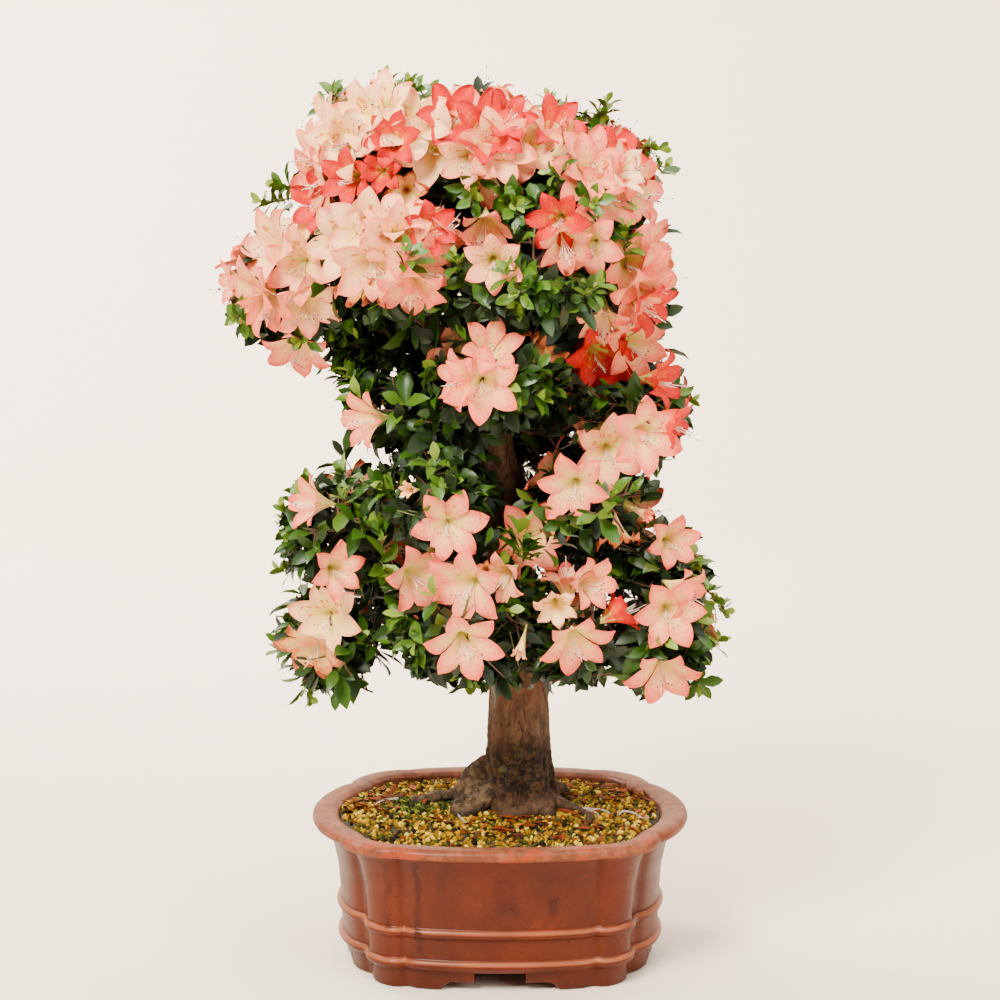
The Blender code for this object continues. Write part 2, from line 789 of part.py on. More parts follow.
def grow_sprig(name, start, tip, chance, limbs):
    """A three-sided twig with a whorl of leaves at its end, as one closed mesh.

    A leaf that fits nowhere is left out; a twig with no leaf isn't grown."""
    axis = unit(tip - start)
    if not fits(name, between(start, tip, 8) + [tip], limbs):
        return None
    roll = chance.uniform(0, 2 * math.pi)
    root = triangle_round(start, axis, TWIG_RADII[0], roll)
    neck = triangle_round(tip, axis, TWIG_RADII[1], roll)
    vertices = root + neck + [tip + axis * BUD_HEIGHT]
    faces = [(0, 1, 2)]
    leaves = 0
    for k in range(3):
        low, after = k, (k + 1) % 3
        faces.append((low, after, 3 + after, 3 + low))
        angle = roll + 2 * math.pi * (k + 0.5) / 3 + chance.uniform(-0.2, 0.2)
        turn = LEAF_TURN + chance.uniform(-0.35, 0.25)
        size = chance.uniform(0.85, 1.10)
        outline = None
        for shrink in LEAF_SHRINKS:
            left, point, right = leaf_outline(tip, axis, angle, turn, size * shrink)
            blade = over_triangle(tip, left, point) + over_triangle(tip, right, point)
            if fits(name, blade, limbs):
                outline = [left, point, right]
                break
        if outline is None:
            faces.append((3 + low, 3 + after, 6))
            continue
        a = len(vertices)
        vertices += outline
        faces += [(3 + low, a, 6), (a, a + 1, 6), (a + 1, a + 2, 6), (a + 2, 3 + after, 6)]
        faces += [(3 + low, a + 1, a), (3 + low, 3 + after, a + 1), (3 + after, a + 2, a + 1)]
        leaves += 1
    if leaves == 0:
        return None
    mesh = make_mesh("sprig", vertices, faces)
    face_outward(mesh)
    return mesh


def bloom_ring(foot, direction, size, roll):
    """The twelve points of a six-pointed funnel's edge."""
    first, second = across_axis(direction)
    ring = []
    for k in range(12):
        angle = roll + math.pi * k / 6
        petal_tip = k % 2 == 0
        radius = BLOOM_RADIUS * size * (1.0 if petal_tip else BLOOM_NOTCH)
        rise = BLOOM_DEPTH * size * (1.0 if petal_tip else BLOOM_NOTCH_RISE)
        ring.append(foot + direction * rise
                    + radius * (math.cos(angle) * first + math.sin(angle) * second))
    return ring


def bloom_mesh(start, foot, direction, size, roll):
    """A funnel on a three-sided stalk from start to foot, as one closed mesh."""
    ring = bloom_ring(foot, direction, size, roll)
    neck = triangle_round(foot, direction, STALK_RADII[1], roll + math.pi / 3)
    root = triangle_round(start, unit(foot - start), STALK_RADII[0], roll + math.pi / 3)
    throat = foot + direction * BLOOM_THROAT * size
    vertices = ring + [throat] + neck + root
    faces = [(18, 17, 16)]
    for k in range(12):
        faces.append((k, (k + 1) % 12, 12))
        faces.append(((k + 1) % 12, k, 13 + k // 4))
    for j in range(3):
        after = (j + 1) % 3
        faces.append((13 + j, 13 + after, 4 * (j + 1) % 12))
        faces.append((13 + j, 13 + after, 16 + after, 16 + j))
    mesh = make_mesh("bloom", vertices, faces)
    face_outward(mesh)
    return mesh


def grow_bloom(name, start, place, direction, chance, limbs):
    """A bloom drawn back towards the mass's centre, and made smaller, until it fits."""
    centre = np.array(MASSES[name][0])
    roll = chance.uniform(0, math.pi / 3)
    size = chance.uniform(0.94, 1.06)
    for shrink in BLOOM_SHRINKS:
        for back in (0.0, 0.10, 0.20, 0.30):
            foot = place + (centre - place) * back
            ring = bloom_ring(foot, direction, size * shrink, roll)
            skin = between(start, foot)
            for k in range(12):
                skin += over_triangle(foot, ring[k], ring[(k + 1) % 12])
            if fits(name, skin, limbs, BLOOM_REACH):
                return bloom_mesh(start, foot, direction, size * shrink, roll), foot
    return None, None


# Growth of a mass

def sphere_directions(count):
    """Directions spread evenly over a sphere."""
    golden = math.pi * (3 - math.sqrt(5))
    heights = 1 - 2 * (np.arange(count) + 0.5) / count
    angles = golden * np.arange(count)
    level = np.sqrt(1 - heights ** 2)
    return np.column_stack([level * np.cos(angles), level * np.sin(angles), heights])


def exposed(name, point):
    """True where a point on the mass's reach is well outside every other mass."""
    for other in MASSES:
        if other != name and space_value(other, point[None, :])[0] < EXPOSED_FROM:
            return False
    return True


def tip_directions(name, chance):
    """Directions of the tips on the open side of a mass, in its scaled space."""
    centre, reach = np.array(MASSES[name][0]), np.array(MASSES[name][1])
    mean_reach = float(np.prod(reach)) ** (1 / 3)
    count = int(round(4 * math.pi * mean_reach ** 2 / TIP_SPACING ** 2))
    result = []
    for direction in sphere_directions(count):
        jitter = np.array([chance.gauss(0, 0.10) for _ in range(3)])
        direction = unit(direction + jitter)
        if exposed(name, centre + direction * reach):
            result.append(direction)
    return result


def front_place(name, x, z):
    """The point of a mass's front shell at a place seen by the viewer."""
    centre, reach = np.array(MASSES[name][0]), np.array(MASSES[name][1])
    u = (x - centre[0]) / reach[0]
    w = (z - centre[2]) / reach[2]
    v = math.sqrt(max(0.15, FRONT_SHELL - u * u - w * w))
    return np.array((x, centre[1] - reach[1] * v, z))


def facing(turn, tilt):
    turn, tilt = math.radians(turn), math.radians(tilt)
    return np.array((math.sin(turn) * math.cos(tilt), -math.cos(turn) * math.cos(tilt),
                     math.sin(tilt)))


def core_mesh(name, share, chance, limbs):
    """The mass's dense middle, each corner drawn in until it is in the mass's own
    space, and the whole made smaller until it is clear of every limb."""
    centre, reach = np.array(MASSES[name][0]), np.array(MASSES[name][1])
    work = bmesh.new()
    bmesh.ops.create_icosphere(work, subdivisions=2, radius=1.0)
    for vertex in work.verts:
        shape = np.array(vertex.co) * (1 + chance.uniform(-0.10, 0.10)) * reach
        drawn = share
        while drawn > 0.2 and not in_own_space(name, (centre + shape * drawn)[None, :]):
            drawn -= 0.02
        vertex.co = shape * drawn
    skin = np.vstack([over_triangle(*[np.array(v.co) for v in f.verts]) for f in work.faces])
    size = 1.0
    while size > 0.4 and not fits(name, centre + skin * size, limbs):
        size -= 0.04
    for vertex in work.verts:
        vertex.co = Vector(centre + np.array(vertex.co) * size)
    mesh = bpy.data.meshes.new("core")
    work.to_mesh(mesh)
    work.free()
    face_outward(mesh)
    return mesh


def wanted_growth(name, chance):
    """Places and directions of a mass's blooms, and the ends of its leafy twigs."""
    centre, reach, core_share, bloom_share = MASSES[name][:4]
    centre, reach = np.array(centre), np.array(reach)
    shell = core_share + BLOOM_RISE
    blooms = []
    twigs = []
    for mass, x, z, turn, tilt in SHOWN_BLOOMS:
        if mass == name:
            face = facing(turn, tilt)
            blooms.append((front_place(name, x, z) - face * BLOOM_DEPTH, face))
    for direction in tip_directions(name, chance):
        if chance.random() < bloom_share:
            blooms.append((centre + direction * reach * shell, unit(direction / reach)))
        else:
            twigs.append(centre + direction * reach * (TIP_SHELL + chance.uniform(-0.06, 0.05)))
    return blooms, twigs


def grow_mass(name, limbs):
    """Stem, core, branches, twigs, leaves and blooms of one mass, in one body."""
    centre, reach, core_share = MASSES[name][:3]
    centre, reach = np.array(centre), np.array(reach)
    chance = random.Random(name)
    path, radii = limbs[name]
    stem_start = path[-1] + unit(path[-1] - path[-2]) * CLEAR
    stem = tube("stem", [stem_start, centre], (radii[-1], radii[-1] * 0.6), STEM_SIDES, roll=0.5)
    core = core_mesh(name, core_share, chance, limbs)
    parts = [core]
    knees = [centre + d * reach * core_share * BRANCH_SHARE for d in sphere_directions(BRANCHES)]
    knees = [knee for knee in knees if fits(name, between(centre, knee) + [knee], limbs)]
    blooms, twigs = wanted_growth(name, chance)
    rings = []
    for place, direction in blooms:
        ring = place + direction * BLOOM_DEPTH
        if rings and min(np.linalg.norm(ring - other) for other in rings) < BLOOM_SPACING:
            continue
        knee = min(knees, key=lambda spot: np.linalg.norm(spot - place))
        bloom, foot = grow_bloom(name, knee, place, direction, chance, limbs)
        if bloom is not None:
            rings.append(foot + direction * BLOOM_DEPTH)
            parts.append(bloom)
    for tip in twigs:
        if rings and min(np.linalg.norm(tip - other) for other in rings) < SPRIG_SPACING:
            continue
        knee = min(knees, key=lambda spot: np.linalg.norm(spot - tip))
        sprig = grow_sprig(name, knee, tip, chance, limbs)
        if sprig is not None:
            parts.append(sprig)
    for knee in knees:
        parts.append(tube("branch", [centre, knee], BRANCH_RADII, TWIG_SIDES, roll=0.3))
    mesh = combine("mass_" + name, stem, parts, "UNION")
    keep_outer_body(mesh)
    return mesh


def main():
    remove_everything()
    clay = make_material("clay", CLAY, 0.45)
    ground = make_material("soil", SOIL, 0.95)
    bark = make_material("bark", BARK, 0.80)
    foliage = make_material("foliage", FOLIAGE, 0.55)
    plant = bpy.data.objects.new("bonsai", None)
    plant.location = Vector(POT_PLACE)
    bpy.context.scene.collection.objects.link(plant)

    add_piece("pot", pot_mesh(), clay, plant)
    add_piece("soil", soil_mesh(), ground, plant)
    add_piece("trunk", whole_trunk(), bark, plant)
    limbs = all_limbs()
    for name in MASSES:
        add_piece("bough_" + name, bough_mesh(name, limbs), bark, plant)
    for name in MASSES:
        add_piece("mass_" + name, grow_mass(name, limbs), foliage, plant)


main()
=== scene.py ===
"""Azalea bonsai in flower, built over its solids: pot, soil, trunk and boughs,
twigs, leaves and blooms, with a pale stage and the photograph's camera."""

import math
import random
from typing import NamedTuple

import bmesh
import bpy
import numpy as np
from bpy.props import FloatProperty, FloatVectorProperty, IntProperty, PointerProperty
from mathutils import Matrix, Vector, noise


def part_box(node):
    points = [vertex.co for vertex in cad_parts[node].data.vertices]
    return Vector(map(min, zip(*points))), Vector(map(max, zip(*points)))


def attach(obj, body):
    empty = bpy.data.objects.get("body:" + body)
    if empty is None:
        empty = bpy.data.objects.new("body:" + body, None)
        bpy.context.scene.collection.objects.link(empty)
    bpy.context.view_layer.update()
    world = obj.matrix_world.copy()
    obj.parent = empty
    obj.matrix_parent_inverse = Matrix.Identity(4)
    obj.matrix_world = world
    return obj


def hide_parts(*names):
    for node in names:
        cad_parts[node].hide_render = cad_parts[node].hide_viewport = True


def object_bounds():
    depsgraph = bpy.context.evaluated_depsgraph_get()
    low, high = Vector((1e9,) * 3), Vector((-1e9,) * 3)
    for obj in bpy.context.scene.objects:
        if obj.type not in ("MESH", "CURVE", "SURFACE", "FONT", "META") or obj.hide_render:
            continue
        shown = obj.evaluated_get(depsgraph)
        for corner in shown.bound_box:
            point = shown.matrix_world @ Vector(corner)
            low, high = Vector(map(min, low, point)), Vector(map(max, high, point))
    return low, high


bl_info = {
    "name": "Azalea Bonsai",
    "version": (1, 0, 0),
    "blender": (4, 5, 0),
    "location": "View3D > Sidebar > Bonsai",
    "description": "Builds a flowering azalea bonsai in its pot",
    "category": "Add Mesh",
}

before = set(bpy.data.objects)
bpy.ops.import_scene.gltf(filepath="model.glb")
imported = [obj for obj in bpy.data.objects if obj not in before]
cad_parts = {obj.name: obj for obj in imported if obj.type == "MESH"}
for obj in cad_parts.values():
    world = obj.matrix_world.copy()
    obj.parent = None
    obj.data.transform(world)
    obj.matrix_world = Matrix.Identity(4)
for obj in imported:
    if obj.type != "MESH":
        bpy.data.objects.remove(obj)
CAD_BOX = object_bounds()
POT_LOW, POT_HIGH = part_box("pot")
PLACE = np.array(((POT_LOW.x + POT_HIGH.x) / 2, (POT_LOW.y + POT_HIGH.y) / 2, 0.0))


def tint(red, green, blue):
    """Linear colour from display values of 0 to 255."""
    result = []
    for value in (red, green, blue):
        share = value / 255
        result.append(share / 12.92 if share <= 0.04045 else ((share + 0.055) / 1.055) ** 2.4)
    return tuple(result)


# Pot, from the same sizes as its solid. The notches between its rim's lobes are given
# as seen from above, anticlockwise from the front lobe's left one.
NOTCHES = [(-0.094, -0.134), (0.094, -0.134), (0.152, -0.085), (0.152, 0.085),
           (0.094, 0.134), (-0.094, 0.134), (-0.152, 0.085), (-0.152, -0.085)]
FRONT_BULGE, FRONT_STEPS = 0.0095, 56
CORNER_BULGE, CORNER_STEPS = 0.0110, 36
SIDE_BULGE, SIDE_STEPS = 0.0280, 44
CREASE_DEPTH = 0.0046
BEAD_REACH = 0.0042
BEAD_HALF = 0.0048
BEAD_HEIGHTS = (0.0258, 0.0562)
BEAD_ROWS = 5


def bead(height, depth):
    """Rows of a round bead that runs round the wall; depth is the wall's inset there."""
    angles = [math.pi / 2 * k / BEAD_ROWS for k in range(-BEAD_ROWS, BEAD_ROWS + 1)]
    return [(depth - BEAD_REACH * math.cos(a), height + BEAD_HALF * math.sin(a), CREASE_DEPTH)
            for a in angles]


# The pot's outline from its underside to its inside, as inset, height and crease depth.
POT_PROFILE = [
    (0.0480, 0.0177, 0.0050), (0.0360, 0.0172, 0.0050), (0.0300, 0.0180, 0.0050),
    *bead(BEAD_HEIGHTS[0], 0.0278), *bead(BEAD_HEIGHTS[1], 0.0268),
    (0.0244, 0.0930, CREASE_DEPTH), (0.0200, 0.1140, CREASE_DEPTH), (0.0146, 0.1290, 0.0054),
    (0.0112, 0.1326, 0.0050), (0.0018, 0.1340, 0.0035), (0.0000, 0.1375, 0.0035),
    (0.0006, 0.1415, 0.0035), (0.0045, 0.1442, 0.0030), (0.0110, 0.1446, 0.0015),
    (0.0200, 0.1436, 0.0), (0.0248, 0.1410, 0.0), (0.0272, 0.1360, 0.0), (0.0330, 0.0775, 0.0),
]
CREASE_WIDTH = 0.0080
FOOT_CREASE = 0.0040
WALL_INSIDE = [(0.0480, 0.0332), (0.0400, 0.0376), (0.0330, 0.0775), (0.0272, 0.1360),
               (0.0248, 0.1410)]
PROFILE_STEP = 0.0014
FOOT_OUTER = 0.0315
FOOT_INNER = 0.0500
FOOT_TOP = 0.0240
FOOT_ROUND = 0.0020
FOOT_BEVEL = 0.12
TAB_END = 0.024
TAB_LIFT = 0.0078
NUB_PLACE = 0.056
NUB_WIDTH = 0.012
NOTCH_LIFT = 0.0022
NOTCH_LIFT_WIDTH = 0.016
SIDE_NUB_SHIFT = 0.012

# Soil.
SOIL_TOP = 0.1470
SOIL_EDGE = 0.1375
SOIL_PLATEAU = (0.100, 0.066)
SOIL_FALL = 0.050

# Trunk: centre x, y, height and radius.
TRUNK_COURSE = [
    (0.0190, 0.0000, 0.1370, 0.0345), (0.0185, 0.0000, 0.1550, 0.0318),
    (0.0180, 0.0000, 0.1830, 0.0292), (0.0175, 0.0010, 0.2230, 0.0280),
    (0.0160, 0.0030, 0.2830, 0.0262), (0.0115, 0.0050, 0.3480, 0.0240),
    (0.0050, 0.0040, 0.4130, 0.0215), (-0.0030, 0.0000, 0.4780, 0.0195),
    (-0.0120, -0.0030, 0.5380, 0.0180), (-0.0210, -0.0020, 0.5830, 0.0168),
    (-0.0270, 0.0000, 0.6080, 0.0150),
]
TRUNK_RINGS = 20
TRUNK_MARGIN = 1.05
TRUNK_LOBES = 5
TRUNK_LOBE_DEPTH = 0.045
TRUNK_LOBE_TURN = 4.0
FLARE_LOBE_DEPTH = 0.24
FLARE_HEIGHT = 0.050
ROUGH_BARK_TOP = 0.225

# Roots that show on the soil: x, y, height over the soil, and radius.
ROOTS = {
    "left": [(0.000, 0.000, 0.018, 0.0095), (-0.022, 0.005, 0.011, 0.0070),
             (-0.056, 0.008, 0.006, 0.0058), (-0.086, 0.004, 0.000, 0.0042)],
    "front_left": [(0.006, -0.006, 0.024, 0.0125), (-0.010, -0.016, 0.014, 0.0100),
                   (-0.026, -0.028, 0.006, 0.0084), (-0.044, -0.038, 0.000, 0.0066)],
    "front": [(0.030, -0.008, 0.018, 0.0150), (0.039, -0.021, 0.008, 0.0112),
              (0.043, -0.031, 0.002, 0.0080), (0.048, -0.040, -0.003, 0.0050)],
    "front_low": [(0.040, -0.022, 0.006, 0.0085), (0.026, -0.033, 0.003, 0.0072),
                  (0.012, -0.036, 0.000, 0.0058), (0.000, -0.037, -0.004, 0.0040)],
    "right": [(0.034, -0.004, 0.014, 0.0130), (0.052, -0.012, 0.005, 0.0075),
              (0.072, -0.020, 0.003, 0.0045), (0.086, -0.050, -0.0005, 0.0028)],
    "back_right": [(0.028, 0.008, 0.018, 0.0160), (0.046, 0.024, 0.007, 0.0110),
                   (0.066, 0.040, -0.001, 0.0055)],
    "back_left": [(0.010, 0.012, 0.018, 0.0150), (-0.004, 0.032, 0.006, 0.0100),
                  (-0.016, 0.048, -0.001, 0.0050)],
    "knob": [(0.006, 0.010, 0.036, 0.0095), (-0.010, 0.012, 0.034, 0.0100),
             (-0.023, 0.011, 0.027, 0.0100), (-0.034, 0.008, 0.015, 0.0086),
             (-0.044, 0.006, 0.003, 0.0070)],
    "under_knob": [(-0.008, 0.018, 0.012, 0.0110), (-0.024, 0.014, 0.008, 0.0090),
                   (-0.036, 0.012, 0.002, 0.0060)],
    "crossing": [(-0.002, -0.002, 0.022, 0.0080), (-0.020, 0.000, 0.016, 0.0062),
                 (-0.034, -0.006, 0.008, 0.0050), (-0.046, -0.010, 0.001, 0.0040)],
}


class Mass(NamedTuple):
    """A mass of foliage and the bough that carries it."""
    centre: np.ndarray
    reach: np.ndarray
    core_share: float
    bloom_share: float
    limb: str
    limb_share: float
    foot_radius: float


# Masses of foliage: centre, reach along x, y and z, core size as a share of the
# reach, share of the tips that carry a bloom, the limb that its bough leaves,
# how far along that limb, and the bough's radius at its foot.
MASS_ROWS = {
    "top_left": ((-0.104, 0.000, 0.761), (0.088, 0.100, 0.080), 0.70, 0.80, "left_wing", 0.45, 0.0070),
    "top": ((-0.016, 0.010, 0.777), (0.080, 0.110, 0.068), 0.70, 0.75, "trunk", 1.00, 0.0120),
    "top_right": ((0.074, 0.000, 0.741), (0.080, 0.106, 0.080), 0.70, 0.65, "top", 0.30, 0.0075),
    "right_shoulder": ((0.112, 0.002, 0.651), (0.062, 0.094, 0.070), 0.70, 0.85, "trunk", 0.91, 0.0095),
    "left_wing": ((-0.180, -0.010, 0.653), (0.088, 0.086, 0.074), 0.66, 0.75, "trunk", 0.950, 0.0105),
    "front_left": ((-0.092, -0.084, 0.671), (0.076, 0.068, 0.068), 0.68, 0.85, "left_wing", 0.24, 0.0062),
    "front_right": ((0.026, -0.090, 0.669), (0.082, 0.068, 0.068), 0.68, 0.30, "trunk", 0.93, 0.0078),
    "back_left": ((-0.108, 0.092, 0.665), (0.090, 0.074, 0.074), 0.72, 0.60, "trunk", 0.895, 0.0082),
    "back_right": ((0.052, 0.100, 0.659), (0.086, 0.072, 0.076), 0.72, 0.60, "trunk", 0.855, 0.0082),
    "mid_right": ((0.114, -0.005, 0.535), (0.074, 0.088, 0.072), 0.66, 0.40, "trunk", 0.78, 0.0085),
    "mid_front": ((-0.002, -0.078, 0.569), (0.072, 0.056, 0.062), 0.64, 0.30, "trunk", 0.84, 0.0065),
    "mid_left": ((-0.088, -0.014, 0.533), (0.076, 0.080, 0.062), 0.58, 0.25, "trunk", 0.76, 0.0070),
    "mid_back": ((-0.006, 0.092, 0.535), (0.098, 0.070, 0.072), 0.72, 0.30, "trunk", 0.74, 0.0080),
    "low_inner_left": ((-0.062, -0.056, 0.463), (0.064, 0.062, 0.066), 0.66, 0.12, "trunk", 0.62, 0.0070),
    "low_left": ((-0.146, -0.008, 0.419), (0.070, 0.088, 0.076), 0.68, 0.35, "trunk", 0.55, 0.0088),
    "low_left_hem": ((-0.154, -0.006, 0.305), (0.068, 0.086, 0.070), 0.62, 0.35, "low_left", 0.60, 0.0055),
    "low_front": ((-0.036, -0.092, 0.353), (0.074, 0.064, 0.076), 0.68, 0.40, "trunk", 0.44, 0.0075),
    "low_front_right": ((0.068, -0.078, 0.331), (0.064, 0.066, 0.070), 0.66, 0.35, "trunk", 0.40, 0.0070),
    "low_mid_right": ((0.084, -0.022, 0.449), (0.070, 0.088, 0.070), 0.66, 0.30, "trunk", 0.60, 0.0078),
    "low_right": ((0.144, 0.000, 0.339), (0.076, 0.096, 0.094), 0.70, 0.35, "trunk", 0.38, 0.0090),
    "low_back": ((-0.056, 0.094, 0.358), (0.100, 0.070, 0.088), 0.74, 0.30, "trunk", 0.42, 0.0085),
    "low_back_right": ((0.076, 0.100, 0.415), (0.084, 0.066, 0.084), 0.72, 0.30, "trunk", 0.56, 0.0080),
}
MASSES = {name: Mass(np.array(row[0]), np.array(row[1]), *row[2:]) for name, row in MASS_ROWS.items()}

# Masses of the flowering dome, which blossoms cover; the others are mostly leaf.
DOME = ("top_left", "top", "top_right", "right_shoulder", "left_wing", "front_left", "back_left")

# Chances of each bloom tone in a mass: cream, shell, pink, coral, withered.
TONE_CHANCES = {
    "top_left": (0.50, 0.28, 0.04, 0.13, 0.05),
    "top": (0.24, 0.30, 0.18, 0.24, 0.04),
    "top_right": (0.08, 0.26, 0.50, 0.10, 0.06),
    "right_shoulder": (0.02, 0.16, 0.70, 0.10, 0.02),
    "left_wing": (0.12, 0.48, 0.35, 0.03, 0.02),
    "front_left": (0.25, 0.48, 0.20, 0.04, 0.03),
}
USUAL_TONES = (0.05, 0.20, 0.56, 0.13, 0.06)
TONES = ("cream", "shell", "pink", "coral", "withered")

# Boughs.
BOUGH_RINGS = 5
BOUGH_TAPER = 0.55
BOUGH_DIP = 0.30
BOUGH_SWAY = 0.025
BOUGH_END = 0.004
BOUGH_BEND = 0.40
ENTRY_DEPTH = 0.80
ENTRY_STEP = 0.002

# The source's growth of a mass.
CORE_CORNERS = 42
TIP_SPACING = 0.067
TIP_SHELL = 0.78
TIP_JITTER = 0.10
EXPOSED_FROM = 1.06
FRONT_SHELL = 0.86
BLOOM_RISE = 0.03
BRANCH_SHARE = 0.75
BRANCHES = 6
CELL_GAP = 0.035

# Blooms that stand out to the viewer, by mass: x and z from the pot's centre, turn about
# the upright axis and tilt up, in degrees from facing the viewer, tone and form.
SHOWN_BLOOMS = {
    "top_left": [
        (-0.112, 0.815, -30, 35, "cream", "star"), (-0.131, 0.805, -45, 20, "cream", "star"),
        (-0.166, 0.792, -70, 15, "cream", "star"), (-0.146, 0.782, -30, 5, "cream", "star"),
        (-0.079, 0.799, -5, 32, "cream", "star"), (-0.061, 0.775, -5, 5, "cream", "star"),
        (-0.096, 0.784, -10, 10, "coral", "half"), (-0.106, 0.755, -5, 0, "coral", "crumpled"),
        (-0.136, 0.749, -25, 0, "coral", "half"), (-0.176, 0.765, -60, -5, "shell", "star"),
        (-0.172, 0.743, -55, -10, "pink", "star"), (-0.084, 0.737, 0, 0, "withered", "crumpled"),
    ],
    "top": [
        (-0.041, 0.806, 10, 25, "coral", "star"), (-0.011, 0.796, 10, 25, "coral", "star"),
        (-0.029, 0.765, -15, -10, "shell", "half"), (0.000, 0.777, 10, 10, "shell", "star"),
        (-0.003, 0.745, 0, -30, "shell", "star"), (0.027, 0.777, 10, 10, "shell", "star"),
        (0.007, 0.803, 10, 30, "coral", "half"),
    ],
    "left_wing": [
        (-0.166, 0.724, -40, 5, "coral", "half"), (-0.182, 0.671, -15, -5, "shell", "star"),
        (-0.214, 0.688, -50, 15, "shell", "star"), (-0.228, 0.643, -55, -10, "pink", "star"),
        (-0.209, 0.633, -10, -35, "pink", "half"), (-0.187, 0.583, -15, -48, "pink", "star"),
    ],
    "front_left": [
        (-0.126, 0.713, -10, 5, "cream", "star"), (-0.114, 0.675, 5, -20, "shell", "star"),
        (-0.150, 0.695, -25, 0, "cream", "star"), (-0.087, 0.701, 15, 0, "shell", "star"),
        (-0.077, 0.648, 0, -45, "pink", "star"), (-0.058, 0.711, 20, 10, "coral", "half"),
    ],
    "front_right": [
        (-0.023, 0.718, 0, -40, "pink", "half"), (-0.009, 0.680, 0, -5, "shell", "half"),
        (0.053, 0.723, -10, -5, "coral", "half"), (0.063, 0.698, 10, -30, "pink", "half"),
        (0.092, 0.699, -20, -5, "pink", "star"),
    ],
    "top_right": [
        (0.050, 0.798, 20, 30, "coral", "half"), (0.067, 0.781, 60, 20, "withered", "half"),
        (0.086, 0.764, 30, 22, "pink", "star"), (0.112, 0.757, 50, 25, "cream", "half"),
        (0.134, 0.737, 60, 5, "pink", "star"), (0.099, 0.734, 30, 5, "pink", "star"),
        (0.080, 0.752, 10, 10, "pink", "star"),
    ],
    "right_shoulder": [
        (0.145, 0.687, 65, 0, "pink", "star"), (0.123, 0.671, 25, -5, "pink", "star"),
        (0.143, 0.655, 50, -10, "pink", "star"), (0.128, 0.637, 30, -35, "pink", "star"),
        (0.093, 0.616, -5, -50, "shell", "half"), (0.136, 0.631, 50, -20, "coral", "half"),
    ],
    "mid_right": [
        (0.075, 0.593, -20, -15, "coral", "star"), (0.092, 0.585, 20, -20, "coral", "star"),
        (0.128, 0.592, 30, -10, "pink", "star"), (0.155, 0.568, 60, 0, "coral", "half"),
        (0.164, 0.524, 70, -20, "coral", "half"), (0.101, 0.500, 8, -5, "shell", "star"),
        (0.136, 0.517, 25, 0, "pink", "star"),
    ],
    "mid_front": [
        (-0.016, 0.569, 0, -5, "pink", "star"), (-0.009, 0.604, 10, 30, "pink", "half"),
        (-0.040, 0.575, -50, 0, "pink", "half"),
    ],
    "low_inner_left": [(-0.045, 0.438, 5, 0, "pink", "star"), (-0.082, 0.473, -20, 10, "cream", "bud")],
    "low_mid_right": [
        (0.064, 0.470, -8, -12, "pink", "star"), (0.030, 0.416, 10, 10, "pink", "star"),
        (0.111, 0.412, 20, -75, "withered", "crumpled"), (0.134, 0.443, 40, -10, "pink", "bud"),
    ],
    "low_front": [
        (-0.085, 0.404, 35, -8, "pink", "star"), (-0.030, 0.393, -25, -10, "pink", "star"),
        (-0.031, 0.334, 10, -20, "pink", "star"), (0.016, 0.418, -35, -15, "shell", "half"),
        (0.018, 0.326, -15, -40, "cream", "bud"), (-0.002, 0.414, 0, 10, "withered", "bud"),
    ],
    "low_right": [
        (0.157, 0.352, 10, -5, "pink", "star"), (0.152, 0.286, 5, -36, "pink", "star"),
        (0.162, 0.413, 15, 5, "pink", "half"), (0.174, 0.371, 50, -15, "pink", "half"),
    ],
    "low_front_right": [
        (0.085, 0.391, 35, 5, "pink", "half"), (0.072, 0.332, 15, -32, "pink", "star"),
        (0.048, 0.371, 0, -10, "cream", "crumpled"),
    ],
    "mid_left": [(-0.124, 0.531, -50, 0, "pink", "half")],
    "low_left": [(-0.178, 0.455, -60, 10, "pink", "half"), (-0.150, 0.389, 20, 5, "pink", "half")],
    "low_left_hem": [
        (-0.164, 0.345, -10, 0, "cream", "star"), (-0.181, 0.313, -30, -35, "withered", "star"),
    ],
}


def colour_setting(name, description, default):
    return FloatVectorProperty(name=name, description=description, subtype="COLOR", size=3,
                               min=0.0, max=1.0, default=default)


def length_setting(name, description, default, low, high):
    return FloatProperty(name=name, description=description, subtype="DISTANCE",
                         default=default, min=low, max=high)


class BonsaiPotSettings(bpy.types.PropertyGroup):
    clay: colour_setting("Clay", "Colour of the fired clay wall", tint(82, 27, 3))
    rim: colour_setting("Dusty rim", "Colour of the dry, dusty rim", tint(128, 70, 44))
    wet: colour_setting("Wet clay", "Colour of the wet runs and patches", tint(58, 13, 1))


class BonsaiSoilSettings(bpy.types.PropertyGroup):
    grain_size: length_setting("Grain size", "Mean width of a soil grain", 0.0042, 0.001, 0.01)
    grains: IntProperty(name="Grains", description="Grains tried over the soil", default=6600,
                        min=0, max=9000)


class BonsaiWoodSettings(bpy.types.PropertyGroup):
    bark: colour_setting("Bark", "Colour of the smooth bark", tint(90, 64, 42))
    old_bark: colour_setting("Old bark", "Colour of the rough bark at the foot", tint(44, 28, 12))
    relief: length_setting("Relief", "Depth of the bark's furrows", 0.0017, 0.0, 0.004)


class BonsaiCrownSettings(bpy.types.PropertyGroup):
    leaf_length: length_setting("Leaf length", "Length of a full leaf", 0.035, 0.010, 0.060)
    leaf_width: length_setting("Leaf width", "Width of a full leaf", 0.0148, 0.004, 0.030)
    tip_spacing: length_setting("Tip spacing", "Space between leafy twig tips", 0.0320, 0.015, 0.060)
    bloom_radius: length_setting("Bloom radius", "Centre to petal point of an open bloom", 0.0360,
                                 0.010, 0.060)
    bloom_spacing: length_setting("Bloom spacing", "Least space between blooms", 0.032, 0.015, 0.080)


# Meshes and pieces

